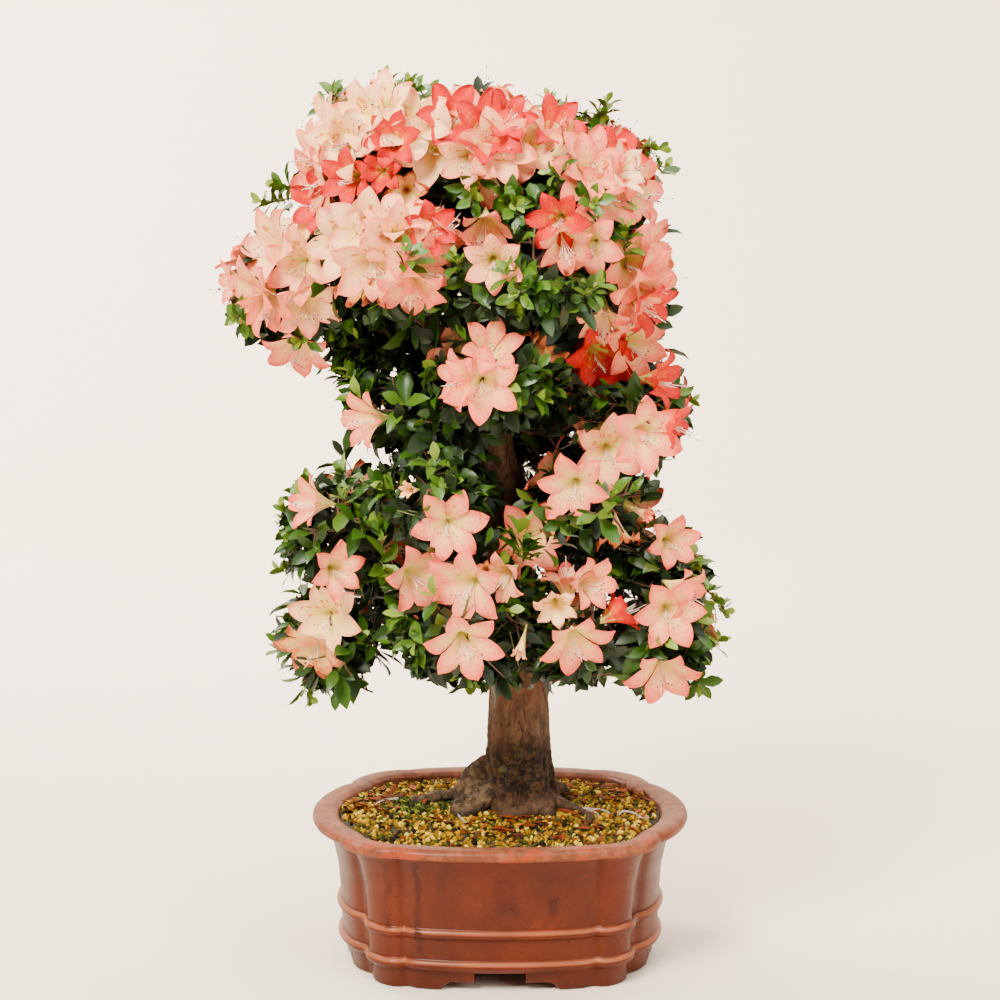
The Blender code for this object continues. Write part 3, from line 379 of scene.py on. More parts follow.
def joined_mesh(name, points, faces, slots=None, smooth=True):
    """One mesh from arrays; every face has the same number of corners."""
    points = np.asarray(points, dtype=np.float32)
    faces = np.asarray(faces, dtype=np.int32)
    mesh = bpy.data.meshes.new(name)
    mesh.vertices.add(len(points))
    mesh.vertices.foreach_set("co", points.ravel())
    mesh.loops.add(faces.size)
    mesh.loops.foreach_set("vertex_index", faces.ravel())
    mesh.polygons.add(len(faces))
    mesh.polygons.foreach_set("loop_start", np.arange(0, faces.size, faces.shape[1], dtype=np.int32))
    if slots is not None:
        mesh.polygons.foreach_set("material_index", np.asarray(slots, dtype=np.int32))
    mesh.update(calc_edges=True)
    mesh.validate()
    mesh.polygons.foreach_set("use_smooth", np.full(len(mesh.polygons), smooth))
    return mesh


def add_object(name, data):
    thing = bpy.data.objects.new(name, data)
    bpy.context.scene.collection.objects.link(thing)
    return thing


def add_piece(name, mesh, materials, replaced=()):
    """A piece in the row frame, riding on the plant's only body."""
    piece = add_object(name, mesh)
    for material in materials:
        mesh.materials.append(material)
    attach(piece, "root")
    if replaced:
        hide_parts(*replaced)


def add_joined(name, parts, materials, smooth=True):
    """A piece from its points, its triangles and, where it has several finishes, their slots."""
    points, faces, *slots = parts
    add_piece(name, joined_mesh(name, points + PLACE, faces, *slots, smooth=smooth), materials)


def unit(vector):
    vector = np.asarray(vector, dtype=float)
    return vector / max(np.linalg.norm(vector), 1e-12)


def units(vectors):
    return vectors / np.maximum(np.linalg.norm(vectors, axis=-1, keepdims=True), 1e-12)


def shift(chance, spread):
    return np.array([chance.gauss(0, spread) for _ in range(3)])


def smooth_through(knots, count):
    """Points on a smooth curve that passes through every knot."""
    knots = np.array(knots, dtype=float)
    padded = np.vstack([2 * knots[0] - knots[1], knots, 2 * knots[-1] - knots[-2]])
    result = []
    for place in np.linspace(0, len(knots) - 1, count):
        span = min(int(place), len(knots) - 2)
        t = place - span
        a, b, c, d = padded[span:span + 4]
        result.append(0.5 * (2 * b + (c - a) * t + (2 * a - 5 * b + 4 * c - d) * t ** 2
                             + (3 * b - a - 3 * c + d) * t ** 3))
    return np.array(result)


def bezier(start, bend, end, count):
    t = np.linspace(0, 1, count)[:, None]
    return (1 - t) ** 2 * start + 2 * t * (1 - t) * bend + t ** 2 * end


def side_vectors(path):
    """Two vectors across the path at each point, carried along it without twist."""
    along = units(np.gradient(path, axis=0))
    guide = np.array((0.0, 1.0, 0.0)) if abs(along[0][1]) < 0.9 else np.array((1.0, 0.0, 0.0))
    first = []
    for direction in along:
        guide = unit(guide - direction * np.dot(guide, direction))
        first.append(guide)
    first = np.array(first)
    return first, np.cross(along, first)


def ring_faces(rings, count):
    """Triangles between rings of count points each."""
    faces = []
    for ring in range(rings - 1):
        for k in range(count):
            a, b = ring * count + k, ring * count + (k + 1) % count
            faces += [(a, b, b + count), (a, b + count, a + count)]
    return faces


def closed_rings(rings, low_hub, high_hub):
    """Points and triangles of a form built up in rings and drawn to a point at both ends."""
    count = len(rings[0])
    points = np.vstack([*rings, [low_hub], [high_hub]])
    faces = ring_faces(len(rings), count)
    hub = len(points) - 2
    top = (len(rings) - 1) * count
    for k in range(count):
        after = (k + 1) % count
        faces += [(after, k, hub), (top + k, top + after, hub + 1)]
    return points, np.array(faces)


def tube_parts(path, radii, sides, swell=None):
    """Points and triangles of a closed tube; swell(ring, angles) scales its radius."""
    path = np.asarray(path, dtype=float)
    first, second = side_vectors(path)
    angles = 2 * math.pi * np.arange(sides) / sides
    rings = []
    for ring in range(len(path)):
        scale = radii[ring] * (swell(ring, angles) if swell else np.ones(sides))
        rings.append(path[ring] + scale[:, None] * (np.cos(angles)[:, None] * first[ring]
                                                    + np.sin(angles)[:, None] * second[ring]))
    return closed_rings(rings, path[0], path[-1])


# A direction that hardly any twig or leaf runs along.
ASKEW = (0.21, 0.37, 0.90)


def many_tubes(paths, radii, sides):
    """Points and triangles of many closed tubes whose paths have the same number of points."""
    paths = np.asarray(paths, dtype=float)
    radii = np.asarray(radii, dtype=float)
    count, rings = paths.shape[:2]
    along = units(np.gradient(paths, axis=1))
    first = units(np.cross(along, ASKEW))
    second = np.cross(along, first)
    angles = 2 * math.pi * np.arange(sides) / sides
    points = (paths[:, :, None, :] + radii[:, :, None, None]
              * (np.cos(angles)[None, None, :, None] * first[:, :, None, :]
                 + np.sin(angles)[None, None, :, None] * second[:, :, None, :]))
    faces = ring_faces(rings, sides)
    top = (rings - 1) * sides
    for side in range(1, sides - 1):
        faces += [(top, top + side, top + side + 1), (0, side + 1, side)]
    return repeat_faces(points.reshape(count, -1, 3), np.array(faces))


def repeat_faces(points, faces):
    """Points as one list, and the faces of one item repeated for each item."""
    count, corners = points.shape[:2]
    offsets = (np.arange(count) * corners)[:, None, None]
    return points.reshape(-1, 3), (faces[None] + offsets).reshape(-1, faces.shape[1])


def stack(parts):
    """Joins lists of points and triangles into one."""
    points, faces, start = [], [], 0
    for item_points, item_faces in parts:
        points.append(item_points)
        faces.append(item_faces + start)
        start += len(item_points)
    return np.vstack(points), np.vstack(faces)


# Materials

def plain(name, colour, roughness, sheen=0.0, gloss=0.5):
    """A finish of one colour, given in display values, for pieces of many small things."""
    material = bpy.data.materials.new(name)
    material.use_nodes = True
    shader = material.node_tree.nodes["Principled BSDF"]
    for socket, value in (("Base Color", (*tint(*colour), 1.0)), ("Roughness", roughness),
                          ("Sheen Weight", sheen), ("Specular IOR Level", gloss)):
        shader.inputs[socket].default_value = value
    return material


def finishes(tints, roughness, gloss=0.5):
    return [plain(name, colour, roughness, gloss=gloss) for name, colour, _ in tints]


def dealt(rng, tints, count):
    """A slot for each of count things, by the chances that a list of tints gives."""
    chances = np.array([chance for _, _, chance in tints])
    return rng.choice(len(tints), size=count, p=chances / chances.sum())


class Nodes:
    """Short names for building one material's node tree."""

    def __init__(self, name, roughness):
        self.material = bpy.data.materials.new(name)
        self.material.use_nodes = True
        self.tree = self.material.node_tree
        self.shader = self.tree.nodes["Principled BSDF"]
        self.shader.inputs["Roughness"].default_value = roughness
        self.places = self.tree.nodes.new("ShaderNodeTexCoord").outputs["Object"]

    def feed(self, socket, value):
        if isinstance(value, bpy.types.NodeSocket):
            self.tree.links.new(value, socket)
        else:
            socket.default_value = value

    def add(self, kind, **inputs):
        """A node whose inputs are set to values or fed by the outputs of other nodes."""
        node = self.tree.nodes.new(kind)
        for name, value in inputs.items():
            self.feed(node.inputs[name.replace("_", " ")], value)
        return node

    def finish(self, socket, value):
        """Sets or feeds one of the shader's own sockets."""
        self.feed(self.shader.inputs[socket], value)

    def noise(self, scale, detail=4.0, rough=0.5, upright=1.0, distortion=0.0):
        """Soft noise, drawn out upward where upright is less than 1."""
        places = self.places
        if upright < 1.0:
            stretch = self.add("ShaderNodeMapping", Scale=(1.0, 1.0, upright), Vector=places)
            places = stretch.outputs["Vector"]
        node = self.add("ShaderNodeTexNoise", Scale=scale, Detail=detail, Roughness=rough,
                        Distortion=distortion, Vector=places)
        return node.outputs["Fac"]

    def cells(self, scale):
        return self.add("ShaderNodeTexVoronoi", Scale=scale, Vector=self.places).outputs["Distance"]

    def ranged(self, value, low, high, to_low=0.0, to_high=1.0):
        node = self.add("ShaderNodeMapRange", From_Min=low, From_Max=high, To_Min=to_low,
                        To_Max=to_high, Value=value)
        node.interpolation_type = "SMOOTHSTEP"
        return node.outputs["Result"]

    def axis(self, letter):
        return self.add("ShaderNodeSeparateXYZ", Vector=self.places).outputs[letter]

    def math(self, operation, first, second):
        node = self.tree.nodes.new("ShaderNodeMath")
        node.operation = operation
        for socket, value in zip(node.inputs, (first, second)):
            self.feed(socket, value)
        return node.outputs[0]

    def times(self, first, second):
        return self.math("MULTIPLY", first, second)

    def gap(self, value, other):
        """How far a value is from another, either way."""
        return self.math("ABSOLUTE", self.math("SUBTRACT", value, other), 0.0)

    def mix(self, share, first, second):
        node = self.tree.nodes.new("ShaderNodeMix")
        node.data_type = "RGBA"
        for key, value in (("A", first), ("B", second)):
            socket = next(s for s in node.inputs if s.name == key and s.type == "RGBA")
            self.feed(socket, (*value, 1.0) if isinstance(value, tuple) else value)
        self.feed(node.inputs[0], share)
        return next(s for s in node.outputs if s.type == "RGBA")

    def over(self, colour, layer, value, low, high, to_low=0.0, to_high=1.0):
        """A colour with a layer laid over it, from where a value is low to where it is high."""
        return self.mix(self.ranged(value, low, high, to_low, to_high), colour, layer)

    def bump(self, height, strength, distance):
        node = self.add("ShaderNodeBump", Strength=strength, Distance=distance, Height=height)
        self.finish("Normal", node.outputs["Normal"])


def scaled(colour, share):
    return tuple(min(1.0, value * share) for value in colour[:3])


# Pot

SHARP_FROM = math.radians(50)
# Where on a bead its painted highlight runs, as a share of its half height above its middle.
BEAD_CREST = 0.55
RIM_FROM = 0.1335
RUN_WAVER = 0.018

# Wet runs down the front wall: place across it, width, and the heights that it spans.
WET_RUNS = [(-0.129, 0.0030, 0.070, 0.124), (-0.104, 0.0044, 0.056, 0.130),
            (-0.076, 0.0040, 0.034, 0.130), (0.006, 0.0130, 0.070, 0.114),
            (-0.052, 0.0060, 0.085, 0.120), (0.049, 0.0080, 0.072, 0.096)]


def lobe(start, end, bulge, steps):
    """Points from start up to the one before end, on an arc that bulges outward."""
    start = np.array(start)
    end = np.array(end)
    chord = end - start
    half = np.linalg.norm(chord) / 2
    along = chord / (2 * half)
    outward = np.array((along[1], -along[0]))
    radius = (half ** 2 + bulge ** 2) / (2 * bulge)
    centre = (start + end) / 2 - outward * (radius - bulge)
    spread = math.asin(half / radius)
    shares = 2 * np.arange(steps) / steps - 1
    shares = 0.5 * shares + 0.5 * np.sin(shares * math.pi / 2)
    angles = spread * shares
    return [centre + radius * (math.cos(a) * outward + math.sin(a) * along) for a in angles]


def rim_outline():
    """The rim's outline from above, anticlockwise from the front lobe's left notch."""
    lobes = [(FRONT_BULGE, FRONT_STEPS), (CORNER_BULGE, CORNER_STEPS),
             (SIDE_BULGE, SIDE_STEPS), (CORNER_BULGE, CORNER_STEPS)] * 2
    points = []
    for start, end, (bulge, steps) in zip(NOTCHES, NOTCHES[1:] + NOTCHES[:1], lobes):
        points += lobe(start, end, bulge, steps)
    return softened(points, closed=True)


def inset(outline, depth):
    along = units(np.roll(outline, -1, axis=0) - np.roll(outline, 1, axis=0))
    outward = np.stack([along[:, 1], -along[:, 0]], axis=1)
    return outline - outward * np.reshape(depth, (-1, 1))


def crease_shares(outline):
    """How far each point is drawn into the crease between two lobes, up to 1."""
    gaps = np.min([np.linalg.norm(outline - notch, axis=1) for notch in NOTCHES], axis=0)
    return np.exp(-gaps / CREASE_WIDTH)


def softened(points, closed):
    """Evens out a line's corners, and keeps the ends of an open one."""
    points = np.array(points)
    smooth = (np.roll(points, 1, axis=0) + 2 * points + np.roll(points, -1, axis=0)) / 4
    if not closed:
        smooth[0], smooth[-1] = points[0], points[-1]
    return smooth


def fine_profile():
    """The pot's profile with close rows, its corners slightly rounded."""
    rows = [np.array(POT_PROFILE[0])]
    for start, end in zip(POT_PROFILE[:-1], POT_PROFILE[1:]):
        start, end = np.array(start), np.array(end)
        steps = max(1, int(round(np.linalg.norm(end - start) / PROFILE_STEP)))
        rows += [start + (end - start) * k / steps for k in range(1, steps + 1)]
    return softened(rows, closed=False)


def foot_lift(place):
    """Height of the skirt's lower edge, for a distance from the lobe's middle."""
    if place >= NUB_PLACE:
        return NOTCH_LIFT * max(0.0, 1 - abs(place - NOTCHES[1][0]) / NOTCH_LIFT_WIDTH)
    step = min(1.0, (NUB_PLACE - place) / NUB_WIDTH)
    return TAB_LIFT * math.sin(step * math.pi / 2)


def foot_parts(mirror_x, mirror_y):
    """The skirt round one corner, with a nub and a tab at each end."""
    outline = rim_outline()
    outer = inset(outline, FOOT_OUTER + FOOT_CREASE * crease_shares(outline))
    inner = inset(outline, FOOT_INNER)
    flip = np.array((mirror_x, mirror_y))
    rings = []
    for k in range(FRONT_STEPS // 2, FRONT_STEPS + CORNER_STEPS + SIDE_STEPS // 2 + 1):
        out, into = outer[k], inner[k]
        on_front = k < FRONT_STEPS
        on_side = k > FRONT_STEPS + CORNER_STEPS
        if (on_front and out[0] < TAB_END) or (on_side and -out[1] < TAB_END):
            continue
        lift = 0.0
        if on_front:
            lift = foot_lift(out[0])
        if on_side:
            lift = foot_lift(-out[1] + SIDE_NUB_SHIFT)
        rounded = out + (into - out) * FOOT_BEVEL
        section = ((out, FOOT_TOP), (out, lift + FOOT_ROUND), (rounded, lift), (into, lift),
                   (into, FOOT_TOP))
        rings.append([(*(place * flip), height) for place, height in section])
    corners = len(rings[0])
    faces = ring_faces(len(rings), corners)
    last = corners * (len(rings) - 1)
    for corner in range(1, corners - 1):
        faces += [(0, corner + 1, corner), (last, last + corner, last + corner + 1)]
    return np.vstack(rings), np.array(faces)


def pot_parts():
    outline = rim_outline()
    shares = crease_shares(outline)
    profile = fine_profile()
    rings = []
    for depth, height, crease in profile:
        ring = inset(outline, depth + crease * shares)
        rings.append(np.column_stack([ring, np.full(len(ring), height)]))
    return closed_rings(rings, (0.0, 0.0, profile[0][1]), (0.0, 0.0, profile[-1][1]))


def clay_material(settings):
    """Unglazed clay: fired tone, dusty rim, wet runs, dark specks, a painted highlight along each bead and
    a soft gloss.
    """
    nodes = Nodes("fired_clay", 0.42)
    nodes.finish("Coat Weight", 0.17)
    nodes.finish("Coat Roughness", 0.25)
    nodes.finish("Specular IOR Level", 0.12)
    clay, rim, height = settings.clay, settings.rim, nodes.axis("Z")
    broad = nodes.noise(14.0, 5.0, 0.6)
    streaks = nodes.noise(30.0, 5.0, 0.6, 0.22)
    fine = nodes.noise(420.0, 2.0, 0.6)
    colour = nodes.over(scaled(clay, 0.72), scaled(clay, 1.20), broad, 0.30, 0.70)
    colour = nodes.over(colour, scaled(clay, 0.62), streaks, 0.50, 0.72, 0.0, 0.50)
    colour = nodes.over(colour, scaled(clay, 0.45), fine, 0.62, 0.74, 0.0, 0.35)
    specks = nodes.ranged(nodes.cells(190.0), 0.06, 0.20, 1.0, 0.0)
    colour = nodes.mix(nodes.times(specks, 0.80), colour, scaled(clay, 0.18))
    colour = nodes.over(colour, scaled(clay, 2.0), nodes.noise(52.0, 4.0, 0.6), 0.62, 0.72, 0.0, 0.35)
    # Painted highlight: a paler clay tone along the upper crest of each bead.
    for bead_height in BEAD_HEIGHTS:
        off_crest = nodes.gap(height, bead_height + BEAD_HALF * BEAD_CREST)
        painted_bead_highlight = nodes.times(nodes.ranged(off_crest, 0.0008, 0.0026, 0.75, 0.0),
                           nodes.ranged(broad, 0.30, 0.60, 0.55, 1.0))
        colour = nodes.mix(painted_bead_highlight, colour, tint(160, 88, 54))
    runs = wet_mask(nodes)
    colour = nodes.mix(runs, colour, tuple(settings.wet))
    dusty = nodes.times(nodes.ranged(height, RIM_FROM, RIM_FROM + 0.0030),
                        nodes.ranged(broad, 0.25, 0.55, 0.55, 1.0))
    dust = nodes.over(scaled(rim, 0.62), scaled(rim, 1.12), nodes.noise(70.0, 5.0, 0.7), 0.40, 0.62)
    colour = nodes.mix(dusty, colour, dust)
    front = nodes.ranged(nodes.axis("Y"), PLACE[1] - 0.120, PLACE[1] - 0.070, 1.0, 0.0)
    damp = nodes.times(nodes.ranged(nodes.noise(40.0, 4.0, 0.6), 0.50, 0.60),
                       nodes.ranged(height, RIM_FROM, RIM_FROM + 0.0025))
    damp = nodes.times(nodes.times(damp, front), 0.75)
    colour = nodes.mix(damp, colour, tint(150, 54, 22))
    nodes.finish("Base Color", colour)
    dull = nodes.math("ADD", nodes.ranged(broad, 0.3, 0.7, 0.34, 0.50), nodes.times(dusty, 0.30))
    nodes.finish("Roughness", nodes.math("SUBTRACT", dull, nodes.times(runs, 0.14)))
    nodes.bump(nodes.math("ADD", fine, nodes.times(broad, 2.0)), 0.30, 0.0006)
    return nodes.material


def wet_mask(nodes):
    """Narrow runs of water down the front wall, each at its own place across it."""
    waver = nodes.times(nodes.noise(34.0, 3.0, 0.6), RUN_WAVER)
    across = nodes.math("ADD", nodes.axis("X"), waver)
    height = nodes.axis("Z")
    front = nodes.ranged(nodes.axis("Y"), PLACE[1] - 0.060, PLACE[1] - 0.050, 1.0, 0.0)
    total = None
    for x, width, low, high in WET_RUNS:
        off = nodes.gap(across, PLACE[0] + x + RUN_WAVER / 2)
        run = nodes.ranged(off, width * 0.30, width * 1.15, 1.0, 0.0)
        run = nodes.times(run, nodes.ranged(height, low, low + 0.006))
        run = nodes.times(run, nodes.ranged(height, high - 0.006, high, 1.0, 0.0))
        total = run if total is None else nodes.math("MAXIMUM", total, run)
    patchy = nodes.ranged(nodes.noise(45.0, 4.0), 0.35, 0.60, 0.25, 0.90)
    return nodes.times(nodes.times(total, front), patchy)


class BONSAI_OT_pot(bpy.types.Operator):
    """Builds the lobed clay pot on its four feet"""
    bl_idname = "bonsai.pot"
    bl_label = "Pot"

    def execute(self, context):
        feet = [foot_parts(x, y) for x in (1, -1) for y in (1, -1)]
        points, faces = stack([pot_parts()] + feet)
        mesh = joined_mesh("clay_pot", points + PLACE, faces)
        face_outward(mesh)
        mesh.set_sharp_from_angle(angle=SHARP_FROM)
        add_piece("clay_pot", mesh, [clay_material(context.scene.bonsai_pot)], ["pot"])
        return {"FINISHED"}


def face_outward(mesh):
    work = bmesh.new()
    work.from_mesh(mesh)
    bmesh.ops.recalc_face_normals(work, faces=work.faces)
    work.to_mesh(mesh)
    work.free()


# Soil

SOIL_SEED = 7
SOIL_FLOOR = 0.085
BED_SINK = 0.0022
BED_RINGS = 22
BED_LUMPS = (160, 0.0012)
WALL_GAP = 0.0006
FLOOR_GAP = 0.0020
GRAIN_SINK = 0.0010
GRAINS_WITHIN, FLAKES_WITHIN = 0.985, 0.97

# Tints with the chance of each.
GRAIN_TINTS = [
    ("ochre_grain", (122, 86, 4), 0.25), ("yellow_grain", (166, 126, 8), 0.24),
    ("cream_grain", (204, 176, 60), 0.13), ("orange_grain", (106, 50, 2), 0.10),
    ("olive_grain", (64, 64, 10), 0.18), ("brown_grain", (26, 15, 4), 0.13),
]

# Slots that a grain under moss is dealt: the two darkest grains and the three mosses.
MOSSY_SLOTS = (4, 5, 6, 7, 8)

# Patches of moss on the soil: x, y, width and strength.
MOSS_PATCHES = [(-0.082, -0.008, 0.036, 1.1), (-0.050, 0.008, 0.036, 1.0), (-0.010, -0.062, 0.018, 0.5),
                (0.066, -0.052, 0.016, 0.5), (0.100, 0.028, 0.022, 0.5), (0.010, 0.070, 0.030, 0.5)]
MOSS_TINTS = [("dark_moss", (26, 36, 10), 0.45), ("green_moss", (54, 70, 16), 0.38),
              ("pale_moss", (112, 116, 34), 0.17)]
MOSS_TRIES = 26000
MOSS_TUFTS = 5200
MOSS_SINK = 0.0008
FLAKE_TINTS = [("rust_flake", (112, 44, 6), 0.5), ("brown_flake", (74, 36, 8), 0.3),
               ("dry_petal", (132, 62, 20), 0.2)]
FLAKES_TO_A_PATCH = 34
FLAKE_RISE = 0.0026
FLAKE_THICKNESS = 0.0005

# Where fallen flakes gather: x, y and spread.
FLAKE_PATCHES = [(-0.122, 0.004, 0.020), (0.012, -0.062, 0.022), (0.120, 0.026, 0.022),
                 (0.076, -0.062, 0.030), (-0.060, 0.050, 0.040), (0.060, 0.060, 0.040)]


def soil_height(x, y):
    """Flat under the trunk and roots, then an even fall to the pot's wall."""
    out = np.hypot(x / SOIL_PLATEAU[0], y / SOIL_PLATEAU[1])
    past = np.maximum(0.0, out - 1.0) * min(SOIL_PLATEAU) / SOIL_FALL
    return SOIL_TOP - (SOIL_TOP - SOIL_EDGE) * np.minimum(1.0, past) ** 1.5


def on_soil(places, rise):
    """Places given as x and y, set on the soil and raised by a little."""
    return np.column_stack([places, soil_height(places[:, 0], places[:, 1]) + rise])


def wall_inset(height):
    """The pot's inside wall at a height, as an inset from the rim outline."""
    depths, heights = zip(*WALL_INSIDE)
    return float(np.interp(height, heights, depths))


def soil_outline():
    return inset(rim_outline(), wall_inset(SOIL_EDGE) + WALL_GAP)


def inside_outline(points, outline):
    """True where a point is inside a closed outline, seen from above."""
    inside = np.zeros(len(points), dtype=bool)
    for (x0, y0), (x1, y1) in zip(outline, np.roll(outline, -1, axis=0)):
        crosses = (y0 > points[:, 1]) != (y1 > points[:, 1])
        where = x0 + (points[:, 1] - y0) * (x1 - x0) / (y1 - y0 if y1 != y0 else 1e-9)
        inside ^= crosses & (points[:, 0] < where)
    return inside


def mossiness(points):
    """How thickly moss covers each place."""
    value = np.zeros(len(points))
    for x, y, width, weight in MOSS_PATCHES:
        gap = np.hypot(points[:, 0] - x, points[:, 1] - y)
        value = np.maximum(value, weight * np.exp(-(gap / width) ** 2))
    return value


def soil_bed_parts():
    """The bed under the grains: a lumpy sheet that closes down to the pot's floor."""
    outline = soil_outline()
    low = inset(rim_outline(), wall_inset(SOIL_FLOOR) + FLOOR_GAP)
    rings = [np.column_stack([low, np.full(len(low), SOIL_FLOOR)])]
    scale, height = BED_LUMPS
    for share in np.linspace(1.0, 0.04, BED_RINGS):
        ring = outline * share
        lumps = [noise.noise((x * scale, y * scale, 0.0)) * height for x, y in ring]
        rings.append(on_soil(ring, np.array(lumps) - BED_SINK))
    return closed_rings(rings, (0.0, 0.0, SOIL_FLOOR), (0.0, 0.0, SOIL_TOP - BED_SINK))


def ball_template():
    """Points and triangles of a coarse ball of radius 1."""
    work = bmesh.new()
    bmesh.ops.create_icosphere(work, subdivisions=1, radius=1.0)
    points = np.array([v.co for v in work.verts])
    faces = np.array([[v.index for v in f.verts] for f in work.faces])
    work.free()
    return points, faces


def turned(rng, count):
    """Random turns, as one 3 by 3 matrix each."""
    first = units(rng.normal(size=(count, 3)))
    second = units(np.cross(first, rng.normal(size=(count, 3))))
    return np.stack([first, second, np.cross(first, second)], axis=1)


def scattered(rng, count):
    """Places over the soil, evenly at random."""
    outline = soil_outline()
    tries = rng.uniform(outline.min(axis=0), outline.max(axis=0), size=(count, 2))
    return tries[inside_outline(tries, outline * GRAINS_WITHIN)]


def grain_parts(settings, rng):
    places = scattered(rng, settings.grains)
    count = len(places)
    shape, faces = ball_template()
    radius = settings.grain_size / 2 * rng.uniform(0.50, 1.55, count)
    stretch = rng.uniform(0.60, 1.30, size=(count, 1, 3))
    bumps = rng.uniform(0.76, 1.20, size=(count, len(shape), 1))
    local = shape[None] * bumps * stretch * radius[:, None, None]
    local = np.einsum("nij,njk->nik", local, turned(rng, count))
    centres = on_soil(places, rng.uniform(-0.0008, 0.0012, count) - GRAIN_SINK)
    points, faces = repeat_faces(local + centres[:, None, :], faces)
    slots = dealt(rng, GRAIN_TINTS, count)
    mossy = mossiness(places) > rng.uniform(0.25, 1.0, count)
    slots = np.where(mossy, rng.choice(MOSSY_SLOTS, size=count), slots)
    return points, faces, np.repeat(slots, len(faces) // count)


def moss_parts(rng):
    """Tufts of short blades where moss covers the soil."""
    places = scattered(rng, MOSS_TRIES)
    mossy = mossiness(places) > rng.uniform(0.30, 1.2, len(places))
    places = places[mossy][:MOSS_TUFTS]
    count = len(places)
    foot = on_soil(places, -MOSS_SINK)
    lean = np.column_stack([rng.normal(0, 0.5, (count, 2)), np.full(count, 1.0)])
    tip = foot + units(lean) * rng.uniform(0.0022, 0.0048, count)[:, None]
    side = units(np.column_stack([rng.normal(size=(count, 2)), np.zeros(count)])) * 0.0006
    across = units(np.cross(lean, side)) * 0.0005
    points = np.stack([foot - side, foot + side, foot + across, tip], axis=1)
    faces = np.array([(0, 1, 3), (1, 2, 3), (2, 0, 3), (0, 2, 1)])
    points, faces = repeat_faces(points, faces)
    return points, faces, np.repeat(dealt(rng, MOSS_TINTS, count), len(faces) // count)


def flake_parts(rng):
    """Fallen leaves and dry petals: small curled scraps that lie on the grains."""
    places = np.vstack([rng.normal((x, y), spread, size=(FLAKES_TO_A_PATCH, 2))
                        for x, y, spread in FLAKE_PATCHES])
    places = places[inside_outline(places, soil_outline() * FLAKES_WITHIN)]
    count = len(places)
    heading = rng.uniform(0, 2 * math.pi, count)
    along = np.column_stack([np.cos(heading), np.sin(heading), rng.normal(0, 0.22, count)])
    side = np.column_stack([-np.sin(heading), np.cos(heading), rng.normal(0, 0.30, count)])
    length = rng.uniform(0.0045, 0.0105, count)[:, None]
    width = length * rng.uniform(0.22, 0.42, count)[:, None]
    lift = np.array((0.0, 0.0, 1.0))
    middle = on_soil(places, FLAKE_RISE)
    curl = rng.uniform(-0.25, 0.35, count)[:, None]
    points = np.stack([
        middle - along * length, middle - side * width, middle + lift * curl * width,
        middle + side * width, middle + along * length,
    ], axis=1)
    points = np.concatenate([points, points - lift * FLAKE_THICKNESS], axis=1)
    top = [(0, 1, 2), (0, 2, 3), (1, 4, 2), (2, 4, 3)]
    faces = top + [(c + 5, b + 5, a + 5) for a, b, c in top]
    for a, b in ((0, 1), (1, 4), (4, 3), (3, 0)):
        faces += [(b, a, a + 5), (b, a + 5, b + 5)]
    points, faces = repeat_faces(points, np.array(faces))
    return points, faces, np.repeat(dealt(rng, FLAKE_TINTS, count), len(faces) // count)


# Thin roots on the grains, each as x and y along its course.
ROOTLETS = [
    [(0.060, -0.016), (0.078, -0.024), (0.090, -0.034), (0.094, -0.046)],
    [(0.076, -0.022), (0.096, -0.026), (0.104, -0.034)],
    [(0.112, -0.036), (0.118, -0.026), (0.128, -0.028), (0.134, -0.038), (0.142, -0.034)],
    [(-0.040, -0.040), (-0.036, -0.056), (-0.032, -0.066)],
    [(-0.098, 0.010), (-0.112, 0.006), (-0.120, -0.006)],
]
ROOTLET_RINGS = 16
ROOTLET_RISE = 0.0022
ROOTLET_RADII = (0.0014, 0.0007)


def rootlet_parts():
    """Thin pale roots that wander over the grains."""
    parts = []
    for course in ROOTLETS:
        path = smooth_through(on_soil(np.array(course), ROOTLET_RISE), ROOTLET_RINGS)
        parts.append(tube_parts(path, np.linspace(*ROOTLET_RADII, ROOTLET_RINGS), 6))
    return stack(parts)


def bed_material():
    nodes = Nodes("damp_soil", 0.9)
    lumps = nodes.noise(240.0, 4.0, 0.6)
    nodes.finish("Base Color", nodes.over(tint(30, 24, 12), tint(70, 54, 22), lumps, 0.35, 0.65))
    nodes.bump(lumps, 0.8, 0.0012)
    return nodes.material


class BONSAI_OT_soil(bpy.types.Operator):
    """Builds the soil bed with its grains, moss, fallen flakes and thin roots"""
    bl_idname = "bonsai.soil"
    bl_label = "Soil"

    def execute(self, context):
        rng = np.random.default_rng(SOIL_SEED)
        points, faces = soil_bed_parts()
        mesh = joined_mesh("soil_bed", points + PLACE, faces)
        face_outward(mesh)
        add_piece("soil_bed", mesh, [bed_material()], ["soil"])
        moss = finishes(MOSS_TINTS, 0.9, 0.15)
        grains = finishes(GRAIN_TINTS, 0.85, 0.15)
        flakes = finishes(FLAKE_TINTS, 0.8, 0.15)
        parts = grain_parts(context.scene.bonsai_soil, rng)
        add_joined("soil_grains", parts, grains + moss, smooth=False)
        add_joined("moss", moss_parts(rng), moss, smooth=False)
        add_joined("fallen_flakes", flake_parts(rng), flakes, smooth=False)
        add_joined("thin_roots", rootlet_parts(), [root_material()])
        return {"FINISHED"}


def root_material():
    nodes = Nodes("pale_root", 0.75)
    grain = nodes.noise(300.0, 3.0)
    nodes.finish("Base Color", nodes.over(tint(120, 104, 90), tint(176, 162, 146), grain, 0.3, 0.7))
    nodes.bump(grain, 0.5, 0.0004)
    return nodes.material


# Spaces of the masses and their boughs, by the source's rule

def space_value(name, points):
    """0 at the mass's centre and 1 on its outer reach."""
    return np.linalg.norm((points - MASSES[name].centre) / MASSES[name].reach, axis=1)


